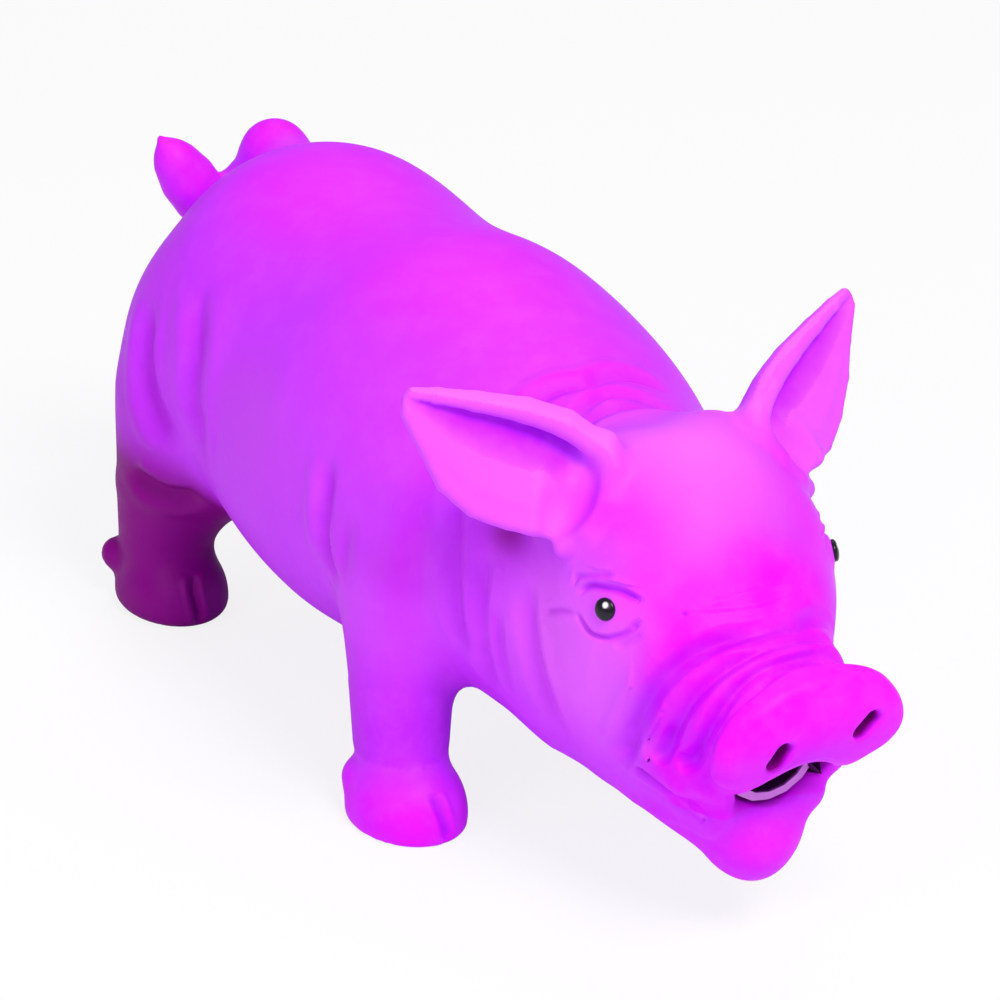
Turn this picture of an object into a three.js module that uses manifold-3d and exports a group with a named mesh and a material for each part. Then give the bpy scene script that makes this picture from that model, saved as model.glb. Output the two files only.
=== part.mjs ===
// A latex pig: a squeezable dog toy with a grunting voice tube in its mouth.
// The cast skin is split where its limbs join, each piece a shell of one wall,
// and it holds the fibre filling and the plastic voice unit.
// Millimetres, +Z up, the snout towards -Y and the pig's left side towards +X.
import * as THREE from 'three';
import * as BufferGeometryUtils from 'three/addons/utils/BufferGeometryUtils.js';
import Module from 'manifold-3d';

const wasm = await Module();
wasm.setup();

const degrees = THREE.MathUtils.degToRad;

// Skin and fits
const wall = 2.2;
const seamGap = 0.3;
const fillingGap = 0.4;
const fitGap = 0.3;
const soleCutDepth = 0.5;
const openOverrun = 0.6;

// Trunk, from under the head to the rump
const trunkLength = 176.5;
const trunkWidth = 84;
const trunkHeight = 85;
const bellyHeight = 18.5;
const trunkFront = -68;
const napeDome = 26;
const rumpDome = 38.5;
const neckSeamY = -40;
const neckSeamLean = degrees(22);

// Head, from behind the ears to the first snout ridge
const headLength = 44;
const headWidth = 56.6;
const headHeight = 64;
const headFront = -88;
const headAxisHeight = 56;
const skullDome = 22;

// Snout with its ridges, disc and nostrils
const snoutLength = 24.5;
const discWidth = 38.4;
const discHeight = 27.6;
const discDrop = 7;
const discLean = degrees(-4);
const discDome = 4.5;
const ridgeHeight = 1.1;
const ridgeCount = 3;
const nostrilWidth = 4.2;
const nostrilHeight = 7;
const nostrilDepth = 4;
const nostrilSpacing = 18.6;
const nostrilSlant = degrees(24);

// Lower jaw
const jawLength = 51;
const jawWidth = 40.4;
const jawHeight = 35;
const jawFront = -103;
const jawRootDrop = 22;
const chinDrop = 23;
const chinDome = 9;
const throatDome = 12;

// Ears
const earLength = 36.5;
const earWidth = 25;
const earThickness = 2.6;
const earCup = 5;
const earHingeRadius = 7;
const earRootX = 22.15;
const earRootY = -63.1;
const earRootZ = 85.1;

// Legs and hooves
const shankWidth = 22;
const hoofWidth = 23;
const hoofLength = 29;
const hoofHeight = 17;
const cleftWidth = 1.6;
const cleftDepth = 6;
const dewclawRadius = 3;

// Tail
const tailRootRadius = 7.2;
const tailReach = 17;
const tailHingeRadius = 8.2;
const tailStandOff = 7.5;

// Eyes
const eyeDiameter = 4.8;
const eyeBulge = 1.3;

// Voice unit
const tubeRadius = 9.5;
const tubeWall = 1.2;
const tubeLedge = 1.2;
const tubeRim = 0.5;
const barbHeight = 0.8;
const barbLength = 3;
const barbSpacing = 6;
const barbCount = 2;
const tubeMouthBack = 13;
const tubeMouthDrop = 8.7;
const tubePitch = degrees(8);
const mouthRadius = 9.5;
const mouthDrop = 3;
const mouthPitch = degrees(20);
const plugDepth = 13;
const plugLength = 4;
const troughRadius = 5.4;
const troughWall = 1.3;
const troughLength = 13;
const reedThickness = 0.4;
const reedWidth = 9.4;
const reedRoot = 2.5;
const reedLift = 1.1;
const reedEndRoom = 1.1;
const screenThickness = 1.4;
const screenHoleRadius = 1.4;
const screenHoleCount = 6;

// Facets around each kind of form
const trunkSideCount = 20;
const headSideCount = 18;
const jawSideCount = 14;
const legSideCount = 12;
const earSideCount = 16;
const tailSideCount = 10;
const tubeSideCount = 16;
const beadSideCount = 12;
const pitSideCount = 10;
const clawSideCount = 6;
const beadRingCount = 6;
const clawRingCount = 5;
const hollowDetailShare = 0.5;

const xAxis = new THREE.Vector3(1, 0, 0);
const yAxis = new THREE.Vector3(0, 1, 0);
const zAxis = new THREE.Vector3(0, 0, 1);

const skinColours = {
  body: 0xd63df2,
  snout: 0xe632f4,
  jaw: 0xe03af2,
  ear: 0xe455f6,
  leg: 0xc834e6,
  tail: 0xd63af0,
};

function latex(colour) {
  return new THREE.MeshStandardMaterial({ color: colour, roughness: 0.5, metalness: 0 });
}

const fibre = new THREE.MeshStandardMaterial({ color: 0xeeeae2, roughness: 1, metalness: 0 });
const eyeEnamel = new THREE.MeshStandardMaterial({ color: 0x0b0b10, roughness: 0.12, metalness: 0 });
const tubePlastic = new THREE.MeshStandardMaterial({ color: 0x4a2a5c, roughness: 0.4, metalness: 0 });
const seatPlastic = new THREE.MeshStandardMaterial({ color: 0xd8d4ca, roughness: 0.45, metalness: 0 });
const reedPlastic = new THREE.MeshStandardMaterial({ color: 0xf2efe6, roughness: 0.3, metalness: 0 });

// A closed three.js geometry becomes a solid that can be joined and cut.
function solidOf(geometry) {
  const bare = geometry.clone();
  bare.deleteAttribute('normal');
  bare.deleteAttribute('uv');
  const merged = BufferGeometryUtils.mergeVertices(bare);
  const corners = Array.from(merged.index.array);
  const faces = [];
  for (let first = 0; first < corners.length; first += 3) {
    const [a, b, c] = corners.slice(first, first + 3);
    if (a !== b && b !== c && c !== a) faces.push(a, b, c);
  }
  if (enclosedVolume(merged.attributes.position, faces) < 0) faces.reverse();
  const mesh = new wasm.Mesh({
    numProp: 3,
    vertProperties: new Float32Array(merged.attributes.position.array),
    triVerts: new Uint32Array(faces),
  });
  return new wasm.Manifold(mesh);
}

function enclosedVolume(positions, faces) {
  const [a, b, c] = [new THREE.Vector3(), new THREE.Vector3(), new THREE.Vector3()];
  let volume = 0;
  for (let first = 0; first < faces.length; first += 3) {
    a.fromBufferAttribute(positions, faces[first]);
    b.fromBufferAttribute(positions, faces[first + 1]);
    c.fromBufferAttribute(positions, faces[first + 2]);
    volume += a.dot(b.cross(c)) / 6;
  }
  return volume;
}

function joined(solids) {
  return solids.reduce((whole, solid) => whole.add(solid));
}

function without(solid, ...cuts) {
  return cuts.reduce((left, cut) => left.subtract(cut), solid);
}

function meshOf(name, solid, material) {
  const { vertProperties, triVerts } = solid.getMesh();
  const geometry = new THREE.BufferGeometry();
  geometry.setAttribute('position', new THREE.BufferAttribute(new Float32Array(vertProperties), 3));
  geometry.setIndex(new THREE.BufferAttribute(new Uint32Array(triVerts), 1));
  geometry.computeVertexNormals();
  const mesh = new THREE.Mesh(geometry, material);
  mesh.name = name;
  return mesh;
}

// Rings of points, with a tip at each end, skinned into one closed body.
function skinned(rings, startTip, endTip) {
  const count = rings[0].length;
  const points = [...rings.flat(), startTip, endTip];
  const startIndex = points.length - 2;
  const endIndex = points.length - 1;
  const lastRing = (rings.length - 1) * count;
  const triangles = [];
  for (let step = 0; step < count; step += 1) {
    const next = (step + 1) % count;
    triangles.push(startIndex, next, step);
    triangles.push(endIndex, lastRing + step, lastRing + next);
    for (let ring = 0; ring < lastRing; ring += count) {
      triangles.push(ring + step, ring + next, ring + next + count);
      triangles.push(ring + step, ring + next + count, ring + step + count);
    }
  }
  const geometry = new THREE.BufferGeometry().setFromPoints(points);
  geometry.setIndex(triangles);
  return geometry;
}

function smoothCurve(points) {
  return new THREE.CatmullRomCurve3(points, false, 'catmullrom');
}

function station(x, y, z, half, rise, drop, lean = 0) {
  return { x, y, z, half, rise, drop, lean };
}

// A form that swells and tapers through its stations. A station is a place with a half
// width, a rise over it, a drop under it and the lean of its section. The form ends in a
// dome, a flat face or, where its hollow runs on into the next form, an open end.
// The inset draws the whole form in, which gives the inside of a wall, or swells it.
function swellingForm(stations, shape) {
  const { around, rings, startDome = 0, endDome = 0, openStart = false, openEnd = false } = shape;
  const { lowPower = 2, ripple = () => 0, domeRings = 3 } = shape;
  const path = smoothCurve(stations.map((s) => new THREE.Vector3(s.x, s.y, s.z)));
  const sizes = smoothCurve(stations.map((s) => new THREE.Vector3(s.half, s.rise, s.drop)));
  const leans = smoothCurve(stations.map((s) => new THREE.Vector3(s.lean, 0, 0)));
  const length = path.getLength();

  function domeShare(distance, dome, inset) {
    const share = (dome - distance) / (dome - inset);
    return share > 0 ? Math.sqrt(Math.max(0, 1 - share * share)) : 1;
  }

  function centreAt(distance) {
    const inside = THREE.MathUtils.clamp(distance, 0, length);
    const t = path.getUtoTmapping(inside / length);
    const centre = path.getPoint(t).addScaledVector(path.getTangent(t), distance - inside);
    return { t, centre };
  }

  function ringAt(distance, inset, sides) {
    const { t, centre } = centreAt(distance);
    const size = sizes.getPoint(t);
    const lean = leans.getPoint(t).x;
    const up = new THREE.Vector3(0, Math.sin(lean), Math.cos(lean));
    const startSwell = startDome ? domeShare(distance, startDome, inset) : 1;
    const endSwell = endDome ? domeShare(length - distance, endDome, inset) : 1;
    const swell = startSwell * endSwell;
    const skin = ripple(distance / length) - inset;
    return Array.from({ length: sides }, (_, step) => {
      const angle = (step / sides) * Math.PI * 2;
      const [across, over] = [Math.cos(angle), Math.sin(angle)];
      const power = over < 0 ? 2 / lowPower : 1;
      const reach = over < 0 ? size.z : size.y;
      const side = Math.sign(across) * Math.abs(across) ** power * (size.x + skin) * swell;
      const height = Math.sign(over) * Math.abs(over) ** power * (reach + skin) * swell;
      return centre.clone().addScaledVector(xAxis, side).addScaledVector(up, height);
    });
  }

  function solid(inset = 0) {
    const startInset = openStart && inset > 0 ? -openOverrun : inset;
    const endInset = openEnd && inset > 0 ? -openOverrun : inset;
    const detail = inset > 0 ? hollowDetailShare : 1;
    const sides = Math.round((around * detail) / 2) * 2;
    const spans = Math.ceil(rings * detail);
    const caps = Math.ceil(domeRings * detail);
    const domeSteps = Array.from({ length: caps }, (_, step) => (step + 1) / (caps + 1));
    const domeDepths = domeSteps.map((share) => 1 - Math.cos((share * Math.PI) / 2));
    const startRings = domeDepths.map((depth) => inset + (startDome - inset) * depth);
    const endRings = domeDepths.map((depth) => length - inset - (endDome - inset) * depth).reverse();
    const from = startDome || startInset;
    const to = length - (endDome || endInset);
    const middle = Array.from({ length: spans + 1 }, (_, step) => from + ((to - from) * step) / spans);
    const list = [...(startDome ? startRings : []), ...middle, ...(endDome ? endRings : [])];
    const startTip = centreAt(startInset).centre;
    const endTip = centreAt(length - endInset).centre;
    return solidOf(skinned(list.map((distance) => ringAt(distance, inset, sides)), startTip, endTip));
  }

  return { solid };
}

// A block far larger than the toy, all of it on one side of a plane.
function halfSpace(point, lean, side, gap) {
  const size = trunkLength * 4;
  const block = new THREE.BoxGeometry(size, size, size);
  block.translate(0, side * (size / 2 + gap), 0);
  block.rotateX(lean);
  block.translate(point.x, point.y, point.z);
  return solidOf(block);
}

// Trunk
const trunkAxisHeight = bellyHeight + trunkHeight / 2;
const trunkStationShares = [
  // along the trunk, half width, half height, axis height
  [0, 0.369, 0.405, 0.895],
  [0.147, 0.399, 0.414, 0.906],
  [0.272, 0.47, 0.45, 0.946],
  [0.35, 0.492, 0.471, 0.955],
  [0.442, 0.5, 0.487, 0.959],
  [0.612, 0.496, 0.486, 0.971],
  [0.737, 0.482, 0.488, 1.006],
  [0.867, 0.474, 0.474, 1.02],
  [1, 0.465, 0.468, 1.022],
];

const trunk = swellingForm(
  trunkStationShares.map(([along, half, tall, axis]) => station(
    0,
    trunkFront + along * trunkLength,
    axis * trunkAxisHeight,
    half * trunkWidth,
    tall * trunkHeight,
    tall * trunkHeight,
  )),
  { around: trunkSideCount, rings: 8, startDome: napeDome, endDome: rumpDome, lowPower: 2.35 },
);

// Head
const headStationShares = [
  // forward along the head, half width, rise, drop, axis height
  [0, 0.43, 0.46, 0.4, 1.02],
  [0.28, 0.468, 0.54, 0.42, 1.01],
  [0.5, 0.493, 0.575, 0.425, 1],
  [0.68, 0.5, 0.562, 0.415, 0.995],
  [0.84, 0.476, 0.515, 0.38, 0.99],
  [1, 0.422, 0.402, 0.335, 0.985],
];

const head = swellingForm(
  headStationShares.map(([along, half, rise, drop, axis]) => station(
    0,
    headFront + (1 - along) * headLength,
    axis * headAxisHeight,
    half * headWidth,
    rise * headHeight,
    drop * headHeight,
  )),
  { around: headSideCount, rings: 6, startDome: skullDome, openEnd: true, lowPower: 2.6 },
);

// Snout: it narrows from the front of the head to the disc, with ridges round it.
const snoutStationShares = [
  // forward along the snout, from the head's size to the disc's, waist, lean
  [0, 0, 1, 0],
  [0.2, 0.43, 0.93, 0.3],
  [0.42, 0.73, 0.89, 0.65],
  [0.56, 0.86, 0.865, 0.9],
  [0.68, 0.93, 0.955, 1],
  [0.82, 0.98, 0.995, 1],
  [1, 1, 0.97, 1],
];
const headFrontShares = headStationShares.at(-1);
const [, frontHalfShare, frontRiseShare, frontDropShare, frontAxisShare] = headFrontShares;
const discAxisHeight = headAxisHeight - discDrop;
const ridgeEndShare = 0.6;

function ridgeRipple(share) {
  const phase = (share / ridgeEndShare) * ridgeCount;
  return share < ridgeEndShare ? ridgeHeight * (0.5 - 0.5 * Math.cos(phase * Math.PI * 2)) : 0;
}

const snout = swellingForm(
  snoutStationShares.map(([along, disc, waist, lean]) => station(
    0,
    headFront - along * snoutLength + seamGap,
    THREE.MathUtils.lerp(frontAxisShare * headAxisHeight, discAxisHeight, disc),
    THREE.MathUtils.lerp(frontHalfShare * headWidth, discWidth / 2, disc) * waist,
    THREE.MathUtils.lerp(frontRiseShare * headHeight, discHeight / 2, disc),
    THREE.MathUtils.lerp(frontDropShare * headHeight, discHeight / 2, disc),
    lean * discLean,
  )),
  {
    around: headSideCount,
    rings: 11,
    openStart: true,
    endDome: discDome,
    domeRings: 2,
    ripple: ridgeRipple,
  },
);

const nostrilRiseShare = 0.05;
const discFaceY = headFront - snoutLength;

function nostril(side, growth) {
  const pit = new THREE.SphereGeometry(1, pitSideCount, beadRingCount);
  pit.scale(nostrilWidth / 2 + growth, nostrilDepth + growth, nostrilHeight / 2 + growth);
  pit.rotateY(side * nostrilSlant);
  pit.rotateX(-discLean);
  pit.translate((side * nostrilSpacing) / 2, discFaceY, discAxisHeight + nostrilRiseShare * discHeight);
  return solidOf(pit);
}

// Lower jaw
const jawStationShares = [
  // forward along the jaw, half width, rise, drop, how far down from root to chin
  [0, 0.46, 0.45, 0.43, 0],
  [0.22, 0.5, 0.53, 0.5, 0.06],
  [0.44, 0.44, 0.5, 0.485, 0.375],
  [0.62, 0.372, 0.4, 0.45, 0.69],
  [0.78, 0.305, 0.28, 0.395, 0.875],
  [0.9, 0.272, 0.2, 0.34, 0.95],
  [1, 0.235, 0.17, 0.17, 1],
];

const jaw = swellingForm(
  jawStationShares.map(([along, half, rise, drop, down]) => station(
    0,
    jawFront + (1 - along) * jawLength,
    THREE.MathUtils.lerp(headAxisHeight - jawRootDrop, discAxisHeight - chinDrop, down),
    half * jawWidth,
    rise * jawHeight,
    drop * jawHeight,
  )),
  { around: jawSideCount, rings: 6, startDome: throatDome, endDome: chinDome, lowPower: 1.65 },
);

// The mouth opens forward and down from the tube: its arch parts the snout's underside,
// and the jaw closes it from below.
const tubeMouthY = discFaceY + tubeMouthBack;
const tubeMouthHeight = discAxisHeight - tubeMouthDrop;

function mouthOpening(growth) {
  const radius = mouthRadius + growth;
  const arch = new THREE.CylinderGeometry(radius, radius, snoutLength * 2, tubeSideCount);
  const below = new THREE.BoxGeometry(radius * 2, snoutLength * 2, headHeight);
  below.translate(0, 0, -headHeight / 2);
  return joined([arch, below].map((space) => {
    space.translate(0, tubeMouthBack - snoutLength, 0);
    space.rotateX(mouthPitch);
    space.translate(0, tubeMouthY, tubeMouthHeight - mouthDrop);
    return solidOf(space);
  }));
}

// Legs: the shank hangs from the trunk and stands in a cloven hoof.
const frontLegAlongShare = 0.264;
const rearLegAlongShare = 0.884;
const frontShankShares = [
  // height of the trunk's axis, out of the half width, back, half width, rear, fore
  [0.96, 0.68, 0.24, 0.72, 0.72, 0.72],
  [0.82, 0.685, 0.238, 0.71, 0.71, 0.71],
  [0.66, 0.712, 0.203, 0.63, 0.63, 0.63],
  [0.43, 0.762, 0.16, 0.5, 0.51, 0.51],
];
const rearShankShares = [
  [1.4, 0.476, -0.14, 0.62, 0.74, 0.74],
  [1.14, 0.48, -0.138, 0.74, 0.9, 0.9],
  [0.9, 0.497, -0.138, 0.89, 1.04, 1.04],
  [0.69, 0.516, -0.138, 0.91, 1, 1],
  [0.46, 0.595, -0.075, 0.76, 0.74, 0.74],
  [0.33, 0.68, 0.03, 0.54, 0.52, 0.52],
];
const hoofShares = [
  // height of the hoof, half width, rear, fore
  [1, 0.455, 0.455, 0.29],
  [0.62, 0.47, 0.47, 0.475],
  [0.24, 0.5, 0.485, 0.505],
];
const frontHoofOutShare = 0.785;
const rearHoofOutShare = 0.708;

function legPlan(side, alongShare, hoofOutShare, shankShares, hipDome) {
  const y = trunkFront + alongShare * trunkLength;
  const outward = (side * trunkWidth) / 2;
  const hoofX = outward * hoofOutShare;
  const quarterTurn = Math.PI / 2;
  const shank = shankShares.map(([height, out, back, half, rear, fore]) => station(
    outward * out,
    y + back * hoofLength,
    height * trunkAxisHeight,
    half * shankWidth,
    rear * shankWidth,
    fore * shankWidth,
    quarterTurn,
  ));
  const hoof = hoofShares.map(([height, half, rear, fore]) => station(
    hoofX,
    y,
    height * hoofHeight,
    half * hoofWidth,
    rear * hoofLength,
    fore * hoofLength,
    quarterTurn,
  ));
  const [, soleHalfShare, soleRearShare, soleForeShare] = hoofShares[hoofShares.length - 1];
  const sole = station(
    hoofX,
    y,
    -soleCutDepth,
    soleHalfShare * hoofWidth,
    soleRearShare * hoofLength,
    soleForeShare * hoofLength,
    quarterTurn,
  );
  const shape = { around: legSideCount, rings: 9, startDome: hipDome, domeRings: 2 };
  const form = swellingForm([...shank, ...hoof, sole], shape);
  return { form, hoofX, y };
}

// The cleft splits the front of the hoof, and two dewclaws stand out behind it.
const cleftHeightShare = 0.72;
const dewclawHeightShare = 0.36;
const dewclawSpreadShare = 0.3;
const dewclawBackShare = 0.33;

function hoofCleft({ hoofX, y }) {
  const front = -hoofLength / 2;
  const outline = new THREE.Shape([
    new THREE.Vector2(0, front + cleftDepth),
    new THREE.Vector2(-cleftWidth, front - cleftDepth),
    new THREE.Vector2(cleftWidth, front - cleftDepth),
  ]);
  const depth = hoofHeight * cleftHeightShare + soleCutDepth;
  const cleft = new THREE.ExtrudeGeometry(outline, { depth, bevelEnabled: false });
  cleft.translate(hoofX, y, -soleCutDepth);
  return solidOf(cleft);
}

function dewclaws({ hoofX, y }) {
  return [-1, 1].map((side) => {
    const claw = new THREE.SphereGeometry(dewclawRadius, clawSideCount, clawRingCount);
    claw.translate(
      hoofX + side * dewclawSpreadShare * hoofWidth,
      y + dewclawBackShare * hoofLength,
      dewclawHeightShare * hoofHeight,
    );
    return solidOf(claw);
  });
}

const hipDomeShare = 0.55;
const hipDome = hipDomeShare * shankWidth;
const legPlans = {
  leg_front_left: legPlan(1, frontLegAlongShare, frontHoofOutShare, frontShankShares, hipDome),
  leg_front_right: legPlan(-1, frontLegAlongShare, frontHoofOutShare, frontShankShares, hipDome),
  leg_rear_left: legPlan(1, rearLegAlongShare, rearHoofOutShare, rearShankShares, hipDome),
  leg_rear_right: legPlan(-1, rearLegAlongShare, rearHoofOutShare, rearShankShares, hipDome),
};

// Ears: a cupped leaf, rolled at its edges, on a short root that belongs to the head.
const earWidthAxis = new THREE.Vector3(-0.603, 0.114, 0.789).normalize();
const earTipAxis = new THREE.Vector3(0.742, 0.428, 0.516).normalize();
const earOutlineShares = [
  // along the ear, upper edge, lower edge, cup, thickness
  [-0.22, 0.4, -0.4, 0.35, 1],
  [0, 0.46, -0.44, 1, 1],
  [0.2, 0.47, -0.5, 0.95, 0.95],
  [0.4, 0.43, -0.53, 0.8, 0.85],
  [0.6, 0.34, -0.46, 0.6, 0.8],
  [0.8, 0.2, -0.31, 0.35, 0.75],
  [0.93, 0.12, -0.16, 0.15, 0.7],
  [1, 0.05, -0.06, 0.02, 0.5],
];
const earRingCount = 11;
const edgeFlatnessShare = 0.55;

function earFrame(side) {
  const mirror = new THREE.Vector3(side, 1, 1);
  const width = earWidthAxis.clone().multiply(mirror);
  const tip = earTipAxis.clone().multiply(mirror);
  const face = new THREE.Vector3().crossVectors(tip, width).multiplyScalar(side);
  const root = new THREE.Vector3(side * earRootX, earRootY, earRootZ);
  return { root, width, tip, face };
}

function earLeaf(side) {
  const { root, width, tip, face } = earFrame(side);
  const edges = smoothCurve(earOutlineShares.map((row) => new THREE.Vector3(...row.slice(0, 3))));
  const depths = smoothCurve(earOutlineShares.map(([, , , cup, thickness]) => (
    new THREE.Vector3(cup, thickness, 0)
  )));
  const place = (along, across, out) => root.clone()
    .addScaledVector(tip, along)
    .addScaledVector(width, across)
    .addScaledVector(face, out);
  const middleOf = (ring) => {
    const sum = ring.reduce((total, point) => total.add(point), new THREE.Vector3());
    return sum.divideScalar(ring.length);
  };
  const rings = Array.from({ length: earRingCount + 1 }, (_, ring) => {
    const t = ring / earRingCount;
    const edge = edges.getPoint(t);
    const depth = depths.getPoint(t);
    const middle = ((edge.y + edge.z) / 2) * earWidth;
    const half = ((edge.y - edge.z) / 2) * earWidth;
    return Array.from({ length: earSideCount }, (__, step) => {
      const angle = (step / earSideCount) * Math.PI * 2;
      const bow = -depth.x * earCup * Math.sin(angle) ** 2;
      const thick = Math.sign(Math.sin(angle)) * Math.abs(Math.sin(angle)) ** edgeFlatnessShare;
      const out = bow + (thick * depth.y * earThickness) / 2;
      return place(edge.x * earLength, middle + half * Math.cos(angle), out);
    });
  });
  return solidOf(skinned(rings, middleOf(rings[0]), middleOf(rings[earRingCount])));
}

// A root that bends is parted by a round about the line where it bends. What lies
// behind that line stays with the skin that carries the root.
function rootPart(centre, axis, outward, radius, span) {
  const round = new THREE.CylinderGeometry(radius, radius, span, tubeSideCount);
  const behind = new THREE.BoxGeometry(radius * 4, span, radius * 4);
  behind.translate(-radius * 2, 0, 0);
  const third = new THREE.Vector3().crossVectors(outward, axis);
  const frame = new THREE.Matrix4().makeBasis(outward, axis, third).setPosition(centre);
  return solidOf(round.applyMatrix4(frame)).add(solidOf(behind.applyMatrix4(frame)));
}

function earRootPart(side, growth) {
  const { root, width, tip } = earFrame(side);
  return rootPart(root, width, tip, earHingeRadius + growth, earWidth * 2);
}

// Tail: it rises from the rump, curls down behind it and ends in a raised point.
const rumpY = trunkFront + trunkLength;
const tailRootHeightShare = 1.475;
const tailRootXShare = 0.32;
const tailRouteShares = [
  // to the pig's left of the root, back from the hinge, up from the root, radius
  [0.05, -1.1, -0.2, 1],
  [0.05, 0, 0, 1],
  [0.045, 0.58, -0.02, 0.96],
  [-0.14, 1.26, -1.1, 0.79],
  [-0.47, 1.53, -1.58, 0.76],
  [-0.79, 1.42, -1.12, 0.76],
  [-1.02, 1.36, -0.34, 0.66],
  [-1.19, 1.38, 0.32, 0.42],
  [-1.34, 1.47, 0.94, 0.1],
];
const tailRingCount = 17;
const tailRoot = new THREE.Vector3(
  tailRootXShare * tailReach,
  rumpY - tailStandOff,
  tailRootHeightShare * trunkAxisHeight,
);

function tailRootPart(growth) {
  return rootPart(tailRoot, xAxis, yAxis, tailHingeRadius + growth, tailRootRadius * 2.5);
}

function tailCurl() {
  const route = smoothCurve(tailRouteShares.map(([left, back, up]) => new THREE.Vector3(
    tailRoot.x + left * tailReach,
    tailRoot.y + back * tailStandOff,
    tailRoot.z + up * tailStandOff,
  )));
  const radii = smoothCurve(tailRouteShares.map(([, , , radius]) => new THREE.Vector3(radius, 0, 0)));
  const frames = route.computeFrenetFrames(tailRingCount, false);
  const rings = frames.tangents.map((_, ring) => {
    const t = route.getUtoTmapping(ring / tailRingCount);
    const centre = route.getPoint(t);
    const radius = radii.getPoint(t).x * tailRootRadius;
    return Array.from({ length: tailSideCount }, (__, step) => {
      const angle = (step / tailSideCount) * Math.PI * 2;
      return centre.clone()
        .addScaledVector(frames.normals[ring], Math.cos(angle) * radius)
        .addScaledVector(frames.binormals[ring], Math.sin(angle) * radius);
    });
  });
  return solidOf(skinned(rings, route.getPoint(0), route.getPoint(1)));
}

// Voice unit: its own +Y axis looks out of the mouth.
const voiceUnit = new THREE.Group();
voiceUnit.position.set(0, tubeMouthY, tubeMouthHeight);
voiceUnit.rotation.set(tubePitch, 0, Math.PI);
voiceUnit.updateMatrixWorld();

const reedChamber = plugDepth + plugLength + troughLength + reedEndRoom;
const tubeLength = reedChamber + screenThickness + fitGap + tubeLedge;
const boreRadius = tubeRadius - tubeWall;
const plugRadius = boreRadius - fitGap;

function tubeOutline(growth) {
  const outline = [new THREE.Vector2(tubeRadius + tubeRim + growth, growth)];
  outline.push(new THREE.Vector2(tubeRadius + tubeRim + growth, -tubeWall));
  for (let barb = 0; barb < barbCount; barb += 1) {
    const start = -barbSpacing * (barb + 1);
    outline.push(new THREE.Vector2(tubeRadius + growth, start));
    outline.push(new THREE.Vector2(tubeRadius + barbHeight + growth, start - tubeWall));
    outline.push(new THREE.Vector2(tubeRadius + growth, start - barbLength));
  }
  outline.push(new THREE.Vector2(tubeRadius + growth, -tubeLength - growth));
  return outline;
}

function tubeEnvelope(growth) {
  const outline = tubeOutline(growth);
  const start = new THREE.Vector2(0, outline[0].y);
  const end = new THREE.Vector2(0, outline[outline.length - 1].y);
  const envelope = new THREE.LatheGeometry([end, ...outline.reverse(), start], tubeSideCount);
  return solidOf(envelope.applyMatrix4(voiceUnit.matrixWorld));
}

// The tube is open at the mouth, and a ledge at its far end keeps the screen in.
function grunterTube() {
  const bore = [
    new THREE.Vector2(boreRadius, 0),
    new THREE.Vector2(boreRadius, tubeLedge - tubeLength),
    new THREE.Vector2(boreRadius - tubeLedge, tubeLedge - tubeLength),
    new THREE.Vector2(boreRadius - tubeLedge, -tubeLength),
  ];
  const profile = [...bore, ...tubeOutline(0).reverse(), bore[0]];
  return solidOf(new THREE.LatheGeometry(profile, tubeSideCount));
}

// A disc in the tube's bore, square to its axis, with its front face at a depth.
function boreDisc(outline, depth, thickness) {
  const curveSegments = tubeSideCount / 2;
  const disc = new THREE.ExtrudeGeometry(outline, { depth: thickness, bevelEnabled: false, curveSegments });
  disc.rotateX(Math.PI / 2);
  disc.translate(0, -depth, 0);
  return solidOf(disc);
}

function segmentOutline(radius, level, side) {
  const reach = Math.asin(level / radius);
  const outline = new THREE.Shape();
  const [from, to] = side > 0 ? [reach, Math.PI - reach] : [Math.PI - reach, Math.PI * 2 + reach];
  outline.absarc(0, 0, radius, from, to, false);
  outline.closePath();
  return outline;
}

// The seat is a half plug with the half-round trough that the reed beats on.
const reedUnder = fitGap;
const reedOver = fitGap + reedThickness;

function reedSeat() {
  const channelRadius = troughRadius - troughWall;
  const plug = boreDisc(segmentOutline(plugRadius, 0, -1), plugDepth, plugLength);
  const trough = boreDisc(segmentOutline(troughRadius, 0, -1), plugDepth, plugLength + troughLength);
  const channelOutline = segmentOutline(channelRadius, 0, -1);
  const channel = boreDisc(channelOutline, plugDepth - troughWall, plugLength + troughLength);
  const lid = new THREE.BoxGeometry(channelRadius * 2, plugLength + troughLength, troughWall);
  lid.translate(0, -plugDepth + troughWall - (plugLength + troughLength) / 2, troughWall / 2);
  return without(plug.add(trough), channel, solidOf(lid));
}

// The clamp fills the upper half of the bore and pinches the root of the reed.
function reedClamp() {
  return boreDisc(segmentOutline(plugRadius, reedOver + fitGap, 1), plugDepth, plugLength);
}

// The reed is a thin tongue, bowed away from the trough towards its free tip.
const reedStepCount = 6;

function reedTongue() {
  const bowed = (share, level) => {
    const lift = reedLift * share * share;
    return new THREE.Vector2(-share * troughLength, lift + level);
  };
  const free = Array.from({ length: reedStepCount + 1 }, (_, step) => step / reedStepCount);
  const under = free.map((share) => bowed(share, 0));
  const over = free.map((share) => bowed(share, reedThickness)).reverse();
  const root = [new THREE.Vector2(reedRoot, reedThickness), new THREE.Vector2(reedRoot, 0)];
  const outline = new THREE.Shape([...under, ...over, ...root]);
  const tongue = new THREE.ExtrudeGeometry(outline, { depth: reedWidth, bevelEnabled: false });
  tongue.translate(0, 0, -reedWidth / 2);
  tongue.applyMatrix4(new THREE.Matrix4().makeBasis(yAxis, zAxis, xAxis));
  tongue.translate(0, -plugDepth - plugLength, reedUnder);
  return solidOf(tongue);
}

// The screen is a disc of holes that keeps the fibre away from the reed.
const screenRingShare = 0.6;

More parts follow.
